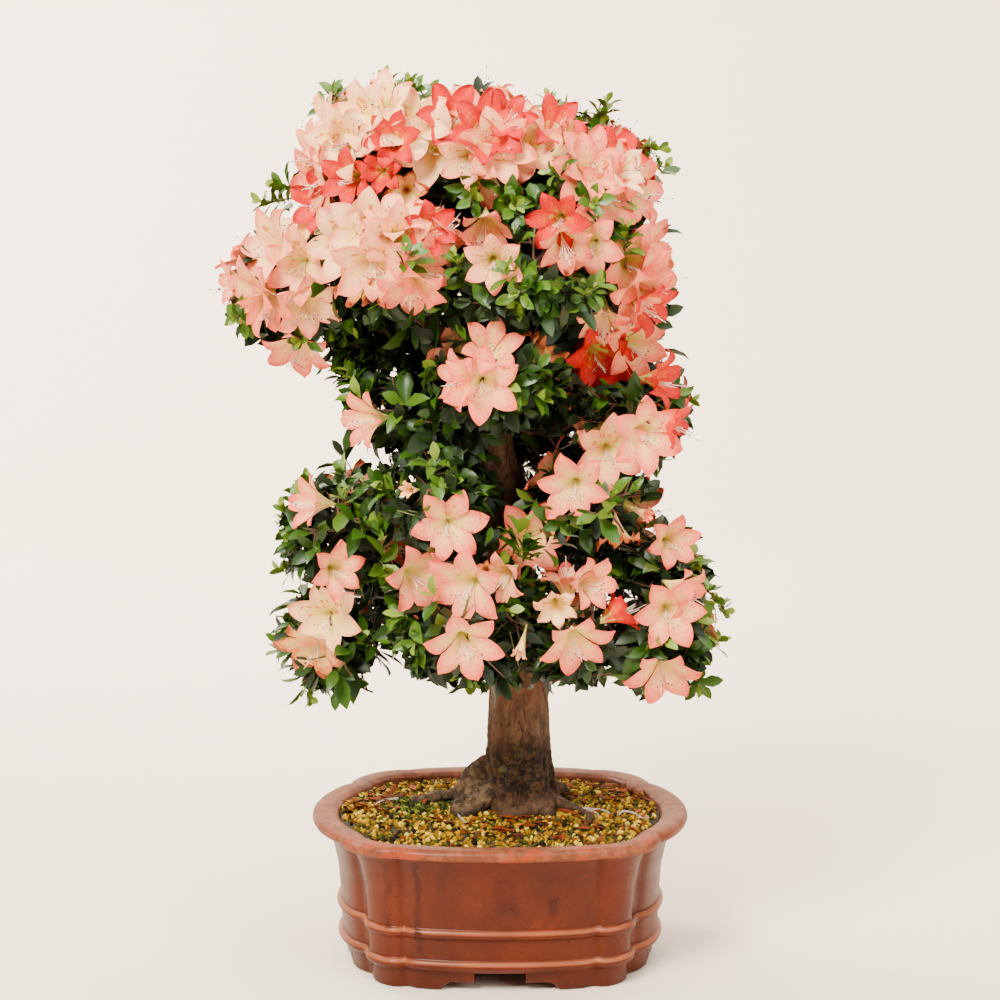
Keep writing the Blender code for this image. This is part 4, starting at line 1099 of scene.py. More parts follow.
def crown_value(name, points, shown=False):
    """As space_value, for whichever mass holds each point. Unless the viewer sees the thing
    singly, its points first move outward by the room that its own mass keeps free."""
    if not shown:
        around, above, below = ROOMS.get(name, USUAL_ROOM)
        outward = units(points - MASSES[name].centre)
        room = around + above * np.maximum(0, outward[:, 2]) + below * np.maximum(0, -outward[:, 2])
        points = points + outward * room[:, None]
    return np.min([space_value(other, points) for other in MASSES], axis=0)


def in_own_space(name, points):
    """True while points are well inside a mass and nearer to it than to any other."""
    own = space_value(name, points)
    if own.max() > ENTRY_DEPTH:
        return False
    others = [space_value(other, points) for other in MASSES if other != name]
    return not any((own + CELL_GAP > value).any() for value in others)


def place_along(path, share):
    where = share * (len(path) - 1)
    low = min(int(where), len(path) - 2)
    return path[low] + (path[low + 1] - path[low]) * (where - low)


def bough_course(name, limbs):
    """Centre line and radii of the bough that carries a mass."""
    mass = MASSES[name]
    start = place_along(limbs[mass.limb][0], mass.limb_share)
    length = np.linalg.norm(mass.centre - start)
    from_below = start - np.array((0.0, 0.0, BOUGH_DIP * length))
    inward = unit(from_below - mass.centre)
    entry = mass.centre
    while in_own_space(name, (entry + inward * ENTRY_STEP)[None, :]):
        entry = entry + inward * ENTRY_STEP
    bend = entry + inward * BOUGH_BEND * np.linalg.norm(entry - start)
    path = bezier(start, bend, entry + inward * BOUGH_END, BOUGH_RINGS)
    chance = random.Random(name + " bough")
    sway = unit(np.cross(entry - start, (0.0, 0.0, 1.0))) * BOUGH_SWAY * length
    turn = chance.choice((-1.0, 1.0))
    for k in range(1, BOUGH_RINGS - 1):
        share = k / (BOUGH_RINGS - 1)
        path[k] += sway * turn * math.sin(2 * math.pi * share)
    path = np.vstack([path, entry])
    radii = mass.foot_radius * (1 - (1 - BOUGH_TAPER) * np.linspace(0, 1, len(path)))
    return path, radii


def all_limbs():
    """Centre line and radii of the trunk and of each bough, by its mass."""
    course = smooth_through(TRUNK_COURSE, TRUNK_RINGS)
    limbs = {"trunk": (course[:, :3], course[:, 3] * TRUNK_MARGIN)}
    waiting = list(MASSES)
    while waiting:
        name = waiting.pop(0)
        if MASSES[name].limb in limbs:
            limbs[name] = bough_course(name, limbs)
        else:
            waiting.append(name)
    return limbs


# Trunk and boughs

# Knots in the bark: x, y, height, width and depth.
KNOTS = [(0.018, -0.028, 0.2750, 0.0060, 0.0026), (0.026, -0.026, 0.2550, 0.0035, 0.0015),
         (0.034, -0.022, 0.2410, 0.0028, 0.0012), (0.010, -0.022, 0.4030, 0.0060, 0.0024),
         (-0.006, -0.019, 0.4830, 0.0055, 0.0024), (0.000, -0.018, 0.4480, 0.0040, 0.0016),
         (0.020, 0.032, 0.3430, 0.0060, 0.0022), (0.044, 0.006, 0.2630, 0.0055, 0.0022),
         (-0.012, 0.004, 0.2730, 0.0050, 0.0020), (-0.016, 0.006, 0.1930, 0.0055, 0.0030)]

# A scar that runs down the trunk: its ends, width and depth.
SCAR = ((0.0085, -0.0270, 0.2630), (0.0150, -0.0285, 0.2260), 0.0024, 0.0018)
GNARL_TOP = 0.185

# How fine the bark's relief is along x, y and z, from its crumbs to its broad swells.
CRUMBS = (420, 420, 300)
FURROWS = (120, 120, 34)
GNARLS = (95, 95, 80)
RIBS = (70, 70, 11)
SWELLS = (38, 38, 22)

# Rings and sides of the wood's tubes, before they are joined in one skin.
TRUNK_MESH = (70, 40)
ROOT_MESH = (14, 14)
BOUGH_MESH = (26, 12)
COLLAR_SWELL, COLLAR_RINGS = 0.55, 2.2
STEM_TAPER = 0.6
SKIN_VOXEL = 0.00165
BOUGH_FROM = 0.010
ROOTS_UP_TO = 0.06


def ripple(point, fineness):
    return noise.noise([place * number for place, number in zip(point, fineness)])


def bark_lift(point, slim, relief):
    """How far the bark stands out at a point; slim is 0 on the trunk and 1 on a bough."""
    height = point[2]
    rough = 1.0 + 1.6 * max(0.0, min(1.0, (ROUGH_BARK_TOP - height) / 0.045))
    gnarled = max(0.0, min(1.0, (GNARL_TOP - height) / 0.030))
    furrow = 1 - 2 * abs(ripple(point, FURROWS))
    lift = relief * (0.50 * furrow * (rough - 0.55) + 0.30 * ripple(point, CRUMBS) * rough)
    lift += ripple(point, SWELLS) * 0.0030 + ripple(point, RIBS) * 0.0016
    lift += gnarled * 0.0026 * ripple(point, GNARLS)
    return lift * (1 - 0.72 * slim)


def from_segment(points, start, end):
    """Distance of each point from a straight line between two ends."""
    start, end = np.array(start), np.array(end)
    along = end - start
    share = np.clip((points - start) @ along / (along @ along), 0, 1)
    return np.linalg.norm(points - start - share[:, None] * along, axis=1)


def wood_parts(limbs):
    """Closed tubes of the trunk, its roots, every bough and every mass's stem."""
    rings, sides = TRUNK_MESH
    course = smooth_through(TRUNK_COURSE, rings)

    def swell(ring, angles):
        above = max(0.0, course[ring][2] - SOIL_TOP)
        flare = max(0.0, 1 - above / FLARE_HEIGHT)
        depth = TRUNK_LOBE_DEPTH + FLARE_LOBE_DEPTH * flare ** 2
        return 1 + depth * np.cos(TRUNK_LOBES * angles + TRUNK_LOBE_TURN * above)

    parts = [tube_parts(course[:, :3], course[:, 3], sides, swell)]
    rings, sides = ROOT_MESH
    for knots in ROOTS.values():
        root = smooth_through(knots, rings)
        parts.append(tube_parts(root[:, :3] + np.array((0, 0, SOIL_TOP)), root[:, 3], sides))
    rings, sides = BOUGH_MESH
    collar = 1 + COLLAR_SWELL * np.exp(-np.arange(rings) / COLLAR_RINGS)
    for name, mass in MASSES.items():
        path, radii = limbs[name]
        knots = np.column_stack([path, radii])
        knots = np.vstack([knots, (*mass.centre, radii[-1] * STEM_TAPER)])
        bough = smooth_through(knots, rings)
        parts.append(tube_parts(bough[:, :3], bough[:, 3] * collar, sides))
    return stack(parts)


def bark_material(settings):
    """Smooth grey-brown bark with red-brown flecks, dark and mossy at its foot, with painted shade where
    it meets the soil.
    """
    nodes = Nodes("azalea_bark", 0.78)
    nodes.finish("Specular IOR Level", 0.25)
    bark, old_bark = settings.bark, settings.old_bark
    height, across = nodes.axis("Z"), nodes.axis("X")
    streaks = nodes.noise(130.0, 7.0, 0.68, 0.35, 0.8)
    flecks = nodes.noise(170.0, 4.0, 0.60, 0.55)
    broad = nodes.noise(22.0, 3.0)
    crust = nodes.noise(130.0, 5.0, 0.7)
    colour = nodes.over(scaled(bark, 0.52), scaled(bark, 1.52), streaks, 0.38, 0.62)
    colour = nodes.over(colour, tint(116, 74, 50), broad, 0.45, 0.75, 0.0, 0.55)
    colour = nodes.over(colour, tint(58, 24, 14), flecks, 0.58, 0.66, 0.0, 0.85)
    wander = nodes.times(nodes.math("SUBTRACT", broad, 0.5), 0.060)
    foot = nodes.ranged(nodes.math("ADD", height, wander), ROUGH_BARK_TOP - 0.030,
                        ROUGH_BARK_TOP, 1.0, 0.0)
    above_roots = nodes.ranged(height, SOIL_TOP + 0.008, SOIL_TOP + 0.022, 0.30, 1.0)
    beside = nodes.ranged(across, PLACE[0] - 0.016, PLACE[0] - 0.006, 0.20, 1.0)
    foot = nodes.times(nodes.times(foot, above_roots), beside)
    old = nodes.over(scaled(old_bark, 0.34), scaled(old_bark, 2.6), crust, 0.44, 0.62)
    old = nodes.over(old, tint(78, 84, 40), nodes.noise(60.0, 3.0), 0.58, 0.70, 0.0, 0.6)
    colour = nodes.mix(foot, colour, old)
    aside = nodes.ranged(across, PLACE[0] - 0.014, PLACE[0] - 0.002, 0.80, 0.0)
    low = nodes.ranged(height, SOIL_TOP + 0.034, SOIL_TOP + 0.050, 1.0, 0.0)
    root = nodes.over(tint(34, 25, 14), tint(104, 82, 54), crust, 0.42, 0.62)
    colour = nodes.mix(nodes.times(aside, low), colour, root)
    # Painted shade: the bark turns dark towards the soil, among the roots.
    painted_shade_at_soil = nodes.ranged(height, SOIL_TOP - 0.001, SOIL_TOP + 0.014, 0.70, 0.0)
    colour = nodes.mix(painted_shade_at_soil, colour, tint(34, 28, 15))
    nodes.finish("Base Color", colour)
    nodes.bump(nodes.math("ADD", streaks, nodes.times(crust, foot)), 0.90, 0.0016)
    return nodes.material


class BONSAI_OT_wood(bpy.types.Operator):
    """Builds the trunk, its roots and its boughs in one skin with bark relief"""
    bl_idname = "bonsai.wood"
    bl_label = "Trunk and boughs"

    def execute(self, context):
        settings = context.scene.bonsai_wood
        limbs = crown(context)["limbs"]
        points, faces = wood_parts(limbs)
        mesh = joined_mesh("trunk_and_boughs", points, faces)
        face_outward(mesh)
        piece = add_object("trunk_work", mesh)
        remesh = piece.modifiers.new("skin", "REMESH")
        remesh.mode = "VOXEL"
        remesh.voxel_size = SKIN_VOXEL
        context.view_layer.update()
        skin = bpy.data.meshes.new_from_object(piece.evaluated_get(context.evaluated_depsgraph_get()))
        bpy.data.objects.remove(piece, do_unlink=True)
        carve_bark(skin, limbs["trunk"], settings.relief)
        nodes = ["trunk"] + ["bough_" + name for name in MASSES]
        add_piece("trunk_and_boughs", skin, [bark_material(settings)], nodes)
        return {"FINISHED"}


def carve_bark(mesh, trunk, relief):
    """Moves each point of the skin along its normal by the bark's relief."""
    count = len(mesh.vertices)
    co, normal = np.zeros(count * 3), np.zeros(count * 3)
    mesh.vertices.foreach_get("co", co)
    mesh.vertices.foreach_get("normal", normal)
    co, normal = co.reshape(-1, 3), normal.reshape(-1, 3)
    path, radii = trunk
    near = np.min([from_segment(co, path[k], path[k + 1]) - radii[k] for k in range(len(path) - 1)],
                  axis=0)
    slim = np.clip(near / BOUGH_FROM, 0.0, 1.0) * (co[:, 2] > SOIL_TOP + ROOTS_UP_TO)
    lift = np.array([bark_lift(point, thin, relief) for point, thin in zip(co, slim)])
    for x, y, z, width, depth in KNOTS:
        gap = np.linalg.norm(co - np.array((x, y, z)), axis=1)
        lift += depth * (0.7 * np.exp(-((gap - width * 1.5) / (width * 0.6)) ** 2)
                         - 1.2 * np.exp(-(gap / (width * 0.8)) ** 2))
    start, end, width, depth = SCAR
    lift -= depth * np.exp(-(from_segment(co, start, end) / width) ** 2)
    co = co + normal * lift[:, None] + PLACE
    mesh.vertices.foreach_set("co", co.ravel())
    mesh.update()
    mesh.polygons.foreach_set("use_smooth", np.full(len(mesh.polygons), True))


# Growth of the crown

GOLDEN_TURN = math.pi * (3 - math.sqrt(5))


def sphere_directions(count):
    """Directions spread evenly over a sphere."""
    heights = 1 - 2 * (np.arange(count) + 0.5) / count
    angles = GOLDEN_TURN * np.arange(count)
    level = np.sqrt(1 - heights ** 2)
    return np.column_stack([level * np.cos(angles), level * np.sin(angles), heights])


def exposed(name, point, limit):
    """True where a point isn't inside, or close to, another mass."""
    return all(space_value(other, point[None, :])[0] >= limit for other in MASSES if other != name)


def tip_directions(name, chance, spacing, limit):
    """Directions of the tips on the open side of a mass, in its scaled space."""
    mass = MASSES[name]
    mean_reach = float(np.prod(mass.reach)) ** (1 / 3)
    count = int(round(4 * math.pi * mean_reach ** 2 / spacing ** 2))
    result = []
    for direction in sphere_directions(count):
        direction = unit(direction + shift(chance, TIP_JITTER))
        if exposed(name, mass.centre + direction * mass.reach, limit):
            result.append(direction)
    return result


def front_place(name, x, z):
    """The point of a mass's front shell at a place seen by the viewer."""
    centre, reach = MASSES[name].centre, MASSES[name].reach
    u = (x - centre[0]) / reach[0]
    w = (z - centre[2]) / reach[2]
    v = math.sqrt(max(0.15, FRONT_SHELL - u * u - w * w))
    return np.array((x, centre[1] - reach[1] * v, z))


def facing(turn, tilt):
    """Direction of a turn and tilt, in degrees from facing the viewer."""
    turn, tilt = math.radians(turn), math.radians(tilt)
    return np.array((math.sin(turn) * math.cos(tilt), -math.cos(turn) * math.cos(tilt), math.sin(tilt)))


CAMERA_PLACE = (0.0, -2.4, 0.8831)

# A bloom's foot to its mouth and back to its stalk, its petals' reach, the space that
# leafy tips keep from it, and the room that leaves take beyond a tip.
BLOOM_DEPTH = 0.018
TRUMPET_BACK = 0.014
PETAL_REACH = 0.030
SPRIG_CLEAR = 0.024
LEAF_ROOM = 0.018

# How far petals may reach, as a share of the masses' reach: on most blooms, on those
# that the viewer sees singly, and on those of them at the left wing.
BLOOM_LIMIT = 0.99
SHOWN_LIMIT = 1.12
WING_LIMIT = 1.38
DRAWN_ROUNDS = 4

# Room that a mass's leaves and blooms keep free all round, above and below.
USUAL_ROOM = (0.0, 0.0, 0.012)
ROOMS = {
    "top": (0.0, 0.016, 0.0), "top_right": (0.003, 0.014, 0.0), "right_shoulder": (0.012, 0.0, 0.0),
    "left_wing": (0.0, 0.018, 0.0), "top_left": (0.0, 0.006, 0.0), "low_left_hem": (0.004, 0.0, 0.058),
    "low_front_right": (0.0, 0.0, 0.030), "low_left": (0.005, 0.0, 0.0), "low_right": (0.004, 0.0, 0.006),
    "mid_right": (0.006, 0.0, 0.0), "low_front": (0.0, 0.0, 0.004),
}

# Leafy tips between the masses, by the mass that feeds them: ranges of x, y and z, and number.
CURTAINS = {
    "low_front": [((-0.022, 0.052), (-0.100, -0.050), (0.292, 0.432), 40)],
    "low_mid_right": [((0.014, 0.064), (-0.045, 0.060), (0.450, 0.530), 40)],
    "top": [
        ((-0.085, 0.012), (-0.060, 0.050), (0.684, 0.738), 46),
        ((-0.050, 0.045), (-0.080, 0.020), (0.700, 0.735), 24),
        ((0.012, 0.040), (-0.060, 0.040), (0.728, 0.748), 14),
    ],
    "right_shoulder": [((0.100, 0.145), (-0.050, 0.050), (0.690, 0.716), 18)],
    "front_right": [
        ((0.000, 0.080), (-0.040, 0.050), (0.585, 0.625), 26),
        ((-0.050, 0.010), (-0.060, 0.040), (0.650, 0.700), 24),
    ],
    "low_right": [((0.092, 0.134), (-0.040, 0.040), (0.378, 0.428), 22)],
    "left_wing": [((-0.152, -0.080), (-0.040, 0.050), (0.580, 0.604), 30)],
}

# Sprigs that stand out from the crown, by mass: x, y and z from the pot's centre.
SHOWN_SPRIGS = {
    "top_left": [
        (-0.104, 0.000, 0.836), (-0.162, 0.000, 0.812), (-0.152, -0.010, 0.824), (-0.220, 0.000, 0.722),
        (-0.205, 0.000, 0.738),
    ],
    "top": [(-0.082, -0.010, 0.830), (0.015, -0.106, 0.726), (-0.026, -0.100, 0.730)],
    "top_right": [
        (0.062, -0.010, 0.808), (0.044, -0.010, 0.817), (0.090, 0.000, 0.806), (0.146, 0.000, 0.770),
        (0.098, 0.000, 0.812), (0.152, 0.000, 0.754), (0.044, -0.100, 0.755), (0.082, -0.108, 0.728),
    ],
    "left_wing": [(-0.238, -0.070, 0.622), (-0.181, -0.060, 0.602)],
    "right_shoulder": [(0.111, -0.088, 0.706)],
    "mid_right": [(0.177, 0.000, 0.538)],
    "low_right": [(0.212, -0.010, 0.340), (0.209, -0.020, 0.313), (0.189, -0.020, 0.270)],
    "low_left_hem": [(-0.179, -0.020, 0.258), (-0.154, -0.040, 0.276), (-0.209, -0.020, 0.313)],
    "low_left": [(-0.202, -0.020, 0.438), (-0.206, -0.020, 0.381)],
    "front_right": [
        (-0.040, -0.125, 0.683), (0.014, -0.154, 0.650), (0.002, -0.152, 0.674), (0.086, -0.134, 0.661),
    ],
    "front_left": [(-0.074, -0.150, 0.690)],
    "mid_left": [(-0.150, -0.020, 0.566), (-0.140, -0.040, 0.572)],
}

# Openings where the backdrop or bare wood shows between the leaves: x and z on the
# plane through the pot's centre, and radius.
OPEN_SPOTS = [
    (-0.154, 0.543, 0.022), (-0.138, 0.508, 0.015), (-0.120, 0.489, 0.012), (-0.094, 0.444, 0.011),
    (-0.167, 0.470, 0.018), (0.099, 0.440, 0.009), (0.132, 0.472, 0.012), (0.107, 0.308, 0.015),
    (0.112, 0.277, 0.015), (-0.095, 0.557, 0.009), (0.000, 0.484, 0.017), (-0.004, 0.515, 0.013),
    (0.095, 0.260, 0.017), (0.072, 0.250, 0.013), (-0.090, 0.256, 0.018), (-0.124, 0.252, 0.028),
    (-0.168, 0.262, 0.018), (-0.144, 0.258, 0.025), (-0.122, 0.280, 0.017),
]

# Where leafy tips stand in their mass, as shares of its reach, how far outside the
# other masses, how much wider the inner ones are spaced, and the gaps between clumps.
FINE_SHELL, FINE_LIMIT = (0.80, 0.98), 0.93
INNER_SHELL, INNER_LIMIT = (0.40, 0.72), 0.80
INNER_SPACING = 1.30
CLUMP_SCALE, CLUMP_LIMIT = 17.0, -0.24

# Chance of a bloom beyond the rule's, in the dome and below it, and how low and how far
# to the front one may face.
DOME_BLOOMS = 0.92
LOWER_BLOOMS = 0.35
UNDERSIDE = -0.40
FRONT_ONLY_SHOWN = -0.30
LOWER_CLEAR = 0.8
BLOOM_JITTER = 0.22

# Thickness of a fine and of a sprig's twig as a share of a usual one, and the sprigs'
# whorls, back from the tip.
FINE_TWIG = 0.6
SPRIG_TWIG = 0.8
SPRIG_WHORLS = (0.0, 0.010, 0.021)
SPRIG_SIZE = 0.66
TWIG_POINTS = 5
TWIG_SWAY = 0.16

# Where the blooms are parted into pieces: left from right, and the dome from the rest.
DOME_MIDDLE = -0.03
DOME_FOOT = 0.60
CROWN = {}


def crown(context):
    """Limbs, twigs, leafy tips and blooms of the whole plant, worked out once."""
    if not CROWN:
        settings = context.scene.bonsai_crown
        CROWN.update(limbs=all_limbs(), blooms=[], tips=[], sprigs=[], twigs=[], branches=[])
        for name in MASSES:
            grow_mass(name, settings)
    return CROWN


def pick_tone(name, chance):
    chances = TONE_CHANCES.get(name, USUAL_TONES)
    return chance.choices(TONES, weights=chances)[0]


def rule_growth(name):
    """The source's own draws: places and directions of blooms, and ends of twigs."""
    mass = MASSES[name]
    chance = random.Random(name)
    for _ in range(CORE_CORNERS):
        chance.uniform(-0.10, 0.10)
    blooms, twigs = [], []
    for direction in tip_directions(name, chance, TIP_SPACING, EXPOSED_FROM):
        outward = direction * mass.reach
        if chance.random() < mass.bloom_share:
            place = mass.centre + outward * (mass.core_share + BLOOM_RISE)
            blooms.append((place, unit(direction / mass.reach)))
        else:
            twigs.append(mass.centre + outward * (TIP_SHELL + chance.uniform(-0.06, 0.05)))
    return blooms, twigs


def in_open_spot(point):
    """True where the viewer's line of sight through a point passes an opening."""
    eye = np.array(CAMERA_PLACE)
    seen = eye + (point - eye) * (-eye[1] / (point[1] - eye[1]))
    return any(math.hypot(seen[0] - x, seen[2] - z) < radius for x, z, radius in OPEN_SPOTS)


def clear_of_blooms(place, spacing):
    return all(np.linalg.norm(place - item["ring"]) > spacing for item in CROWN["blooms"])


def drawn_in(name, place, face, size, shown):
    """A bloom's foot, moved towards its mass's centre until its petals end at the reach."""
    limit = BLOOM_LIMIT
    if shown:
        limit = WING_LIMIT if name == "left_wing" else SHOWN_LIMIT
    up, side = bloom_frame(face)
    angles = np.arange(PETALS) * math.pi / 3
    petals = PETAL_REACH * size * (np.outer(np.cos(angles), up) + np.outer(np.sin(angles), side))
    for _ in range(DRAWN_ROUNDS):
        mouth = place + face * BLOOM_DEPTH
        rim = np.vstack([mouth + petals, mouth])
        values = crown_value(name, rim, shown)
        worst = int(np.argmax(values))
        if values[worst] <= limit:
            break
        place = place - (rim[worst] - MASSES[name].centre) * (1 - limit / values[worst])
    return place


def add_bloom(name, place, face, tone, form, size, shown=False):
    place = drawn_in(name, place, face, size, shown)
    CROWN["blooms"].append({"foot": place, "face": face, "ring": place + face * BLOOM_DEPTH,
                            "tone": tone, "form": form, "size": size})


def add_blooms(name, wanted, spacing, chance):
    """The blooms that the viewer sees singly, then the rule's and those between them."""
    mass = MASSES[name]
    for x, z, turn, tilt, tone, form in SHOWN_BLOOMS.get(name, ()):
        face = facing(turn, tilt)
        place = front_place(name, x, z) - face * BLOOM_DEPTH
        add_bloom(name, place, face, tone, form, chance.uniform(0.96, 1.08), shown=True)
    in_dome = name in DOME
    share = DOME_BLOOMS if in_dome else mass.bloom_share * LOWER_BLOOMS
    wanted = list(wanted)
    for direction in tip_directions(name, chance, spacing, 1.0):
        if chance.random() < share:
            rise = mass.core_share + chance.uniform(0.0, 0.07)
            wanted.append((mass.centre + direction * mass.reach * rise, unit(direction / mass.reach)))
    for place, face in wanted:
        face = unit(face + shift(chance, BLOOM_JITTER))
        hidden = face[2] < UNDERSIDE or (face[1] < FRONT_ONLY_SHOWN and not in_dome)
        if hidden or in_open_spot(place) or not clear_of_blooms(place + face * BLOOM_DEPTH, spacing):
            continue
        tone = pick_tone(name, chance)
        form = "crumpled" if tone == "withered" else chance.choice(("star", "star", "half"))
        add_bloom(name, place, face, tone, form, chance.uniform(0.90, 1.06))


def nearest(places, place):
    """Which of some places is nearest to another."""
    return int(np.argmin(np.linalg.norm(places - place, axis=1)))


def fine_tips(name, spacing, chance):
    """Leafy tips in clumps over a mass, sparser ones inside it, and those beside it."""
    reach = MASSES[name].reach
    tips = []
    for direction in tip_directions(name, chance, spacing, FINE_LIMIT):
        tip = tip_drawn_in(name, direction * reach * chance.uniform(*FINE_SHELL))
        if noise.noise(Vector(tip) * CLUMP_SCALE) > CLUMP_LIMIT:
            tips.append(tip)
    for direction in tip_directions(name, chance, spacing * INNER_SPACING, INNER_LIMIT):
        tips.append(tip_drawn_in(name, direction * reach * chance.uniform(*INNER_SHELL)))
    for across, deep, high, count in CURTAINS.get(name, ()):
        tips += [np.array((chance.uniform(*across), chance.uniform(*deep), chance.uniform(*high)))
                 for _ in range(count)]
    return tips


def grow_mass(name, settings):
    """Blooms first, then leafy tips between them, then the twigs that carry both."""
    mass = MASSES[name]
    chance = random.Random(name + " fine")
    first = len(CROWN["blooms"])
    rule_blooms, rule_twigs = rule_growth(name)
    add_blooms(name, rule_blooms, settings.bloom_spacing, chance)
    knees = mass.centre + sphere_directions(BRANCHES) * mass.reach * mass.core_share * BRANCH_SHARE
    CROWN["branches"] += [(mass.centre, knee) for knee in knees]
    stalks = [item["foot"] - item["face"] * TRUMPET_BACK for item in CROWN["blooms"][first:]]
    coarse = [twig_course(knees[nearest(knees, end)], end, chance) for end in stalks + rule_twigs]
    fine = fine_tips(name, settings.tip_spacing, chance)
    ends = np.array([path[-1] for path in coarse])
    for tip in fine:
        start = place_along(coarse[nearest(ends, tip)], chance.uniform(0.35, 0.80))
        CROWN["twigs"].append((twig_course(start, tip, chance), FINE_TWIG))
    CROWN["twigs"] += [(path, 1.0) for path in coarse]
    clear = SPRIG_CLEAR if name in DOME else SPRIG_CLEAR * LOWER_CLEAR
    for tip in [tip_drawn_in(name, tip - mass.centre) for tip in rule_twigs] + fine:
        if clear_of_blooms(tip, clear) and not in_open_spot(tip):
            CROWN["tips"].append((name, tip, unit((tip - mass.centre) / mass.reach ** 2)))
    for place in SHOWN_SPRIGS.get(name, ()):
        tip = np.array(place)
        course = twig_course(knees[nearest(knees, tip)], tip, chance)
        CROWN["twigs"].append((course, SPRIG_TWIG))
        heading = unit(course[-1] - course[-2])
        CROWN["sprigs"] += [(name, tip - heading * back, heading) for back in SPRIG_WHORLS]


def tip_drawn_in(name, offset):
    """A leafy tip, moved inward where its leaves would stand out of the crown."""
    centre = MASSES[name].centre
    end = centre + offset + unit(offset) * LEAF_ROOM
    value = crown_value(name, end[None, :])[0]
    if value <= 1.0:
        return centre + offset
    return centre + offset - (end - centre) * (1 - 1 / value)


def twig_course(start, end, chance):
    """A twig's points, bent down a little and to one side."""
    length = np.linalg.norm(end - start)
    sway = np.array([chance.uniform(-1, 1), chance.uniform(-1, 1), chance.uniform(-0.9, 0.3)])
    return bezier(start, (start + end) / 2 + sway * length * TWIG_SWAY, end, TWIG_POINTS)


# Twigs

TWIG_TINTS = [("old_twig", (92, 68, 52), 0.40), ("red_twig", (104, 58, 42), 0.38),
              ("green_twig", (112, 110, 60), 0.22)]
TWIG_SEED = 11
BRANCH_SAG = 0.004
BRANCH_RADII, TWIG_RADII = (0.0030, 0.0017), (0.0016, 0.0009)


class BONSAI_OT_twigs(bpy.types.Operator):
    """Builds the branches and twigs inside the masses of foliage"""
    bl_idname = "bonsai.twigs"
    bl_label = "Twigs"

    def execute(self, context):
        grown = crown(context)
        rng = np.random.default_rng(TWIG_SEED)
        thick = [bezier(centre, (centre + knee) / 2 + (0, 0, -BRANCH_SAG), knee, TWIG_POINTS)
                 for centre, knee in grown["branches"]]
        radii = np.tile(np.linspace(*BRANCH_RADII, TWIG_POINTS), (len(thick), 1))
        wood = many_tubes(thick, radii, 6)
        paths = np.array([path for path, _ in grown["twigs"]])
        sizes = np.array([size for _, size in grown["twigs"]])
        keep = clear_of_petals(paths, grown["blooms"], range(TWIG_POINTS)) | (sizes > FINE_TWIG)
        paths, sizes = paths[keep], sizes[keep]
        radii = np.linspace(*TWIG_RADII, TWIG_POINTS)[None, :] * sizes[:, None]
        thin = many_tubes(paths, radii, 4)
        slots = np.repeat(dealt(rng, TWIG_TINTS, len(paths)), len(thin[1]) // len(paths))
        slots = np.concatenate([np.zeros(len(wood[1]), dtype=int), slots])
        add_joined("twigs", (*stack([wood, thin]), slots), finishes(TWIG_TINTS, 0.8))
        return {"FINISHED"}


# Leaves

# Tints of the leaves, with the roughness of each. The shade and old tints also paint shade on leaves that
# are deep in a mass, under other foliage or facing down.
LEAF_TINTS = [
    ("shade_leaf", (20, 36, 7), 0.52), ("old_leaf", (35, 60, 12), 0.38),
    ("full_leaf", (49, 82, 17), 0.33), ("young_leaf", (72, 104, 24), 0.36),
    ("new_leaf", (118, 142, 40), 0.42),
]
LEAF_SEED = 13
LEAVES_SPLIT = 0.50
LEAF_GLOSS = 0.30

# Rows of a leaf's points: place along it, and width as a share of its widest.
LEAF_STATIONS = [(0.24, 0.52), (0.56, 1.00), (0.83, 0.66)]
LEAF_KEEL, LEAF_DROOP, LEAF_TIP_DROOP = 0.16, 0.10, 0.14

# A leaf's angle from its twig, in degrees, and its size: the youngest's, and what age adds.
YOUNG_ANGLE, ADDED_ANGLE = 24, 56
YOUNG_SIZE, ADDED_SIZE = 0.52, 0.50
# Painted shade on leaves: heights above a tip where foliage is sought, leaning left and to the front
# toward the key light; how far down a tip must face, and how much shade that gives; and how deep in its
# mass a tip is always shaded.
COVER_HEIGHTS = (0.045, 0.075, 0.105, 0.135)
COVER_LEAN = (-0.25, -0.45)
UNDERSIDE_FROM = -0.35
UNDERSIDE_SHADE = 0.70
INNER_BELOW = 0.64
FRESH_SHARE = 0.26
WHORL_LIFT = 0.35
WHORL_LEAVES = (5, 8)
WHORL_DEPTH = 0.012
MOUTH_FOOT = 0.004
MOUTH_FLARE = 0.80
MOUTH_AHEAD = 0.034
MOUTH_RADIUS = 0.024
LEAF_MIDLINE = (0, 2, 5, 8, 10)


def leaf_template():
    """Points of one leaf along x, across y and up z, and its faces."""
    points = [(0.0, 0.0, 0.0)]
    for place, share in LEAF_STATIONS:
        drop = -LEAF_DROOP * place ** 2
        points += [(place, -share / 2, drop + LEAF_KEEL * share / 2), (place, 0.0, drop),
                   (place, share / 2, drop + LEAF_KEEL * share / 2)]
    points.append((1.0, 0.0, -LEAF_TIP_DROOP))
    faces = [(0, 2, 1), (0, 3, 2)]
    for k in range(2):
        a = 1 + 3 * k
        for side in (0, 1):
            faces += [(a + side, a + side + 1, a + side + 4), (a + side, a + side + 4, a + side + 3)]
    faces += [(7, 8, 10), (8, 9, 10)]
    return np.array(points), np.array(faces)


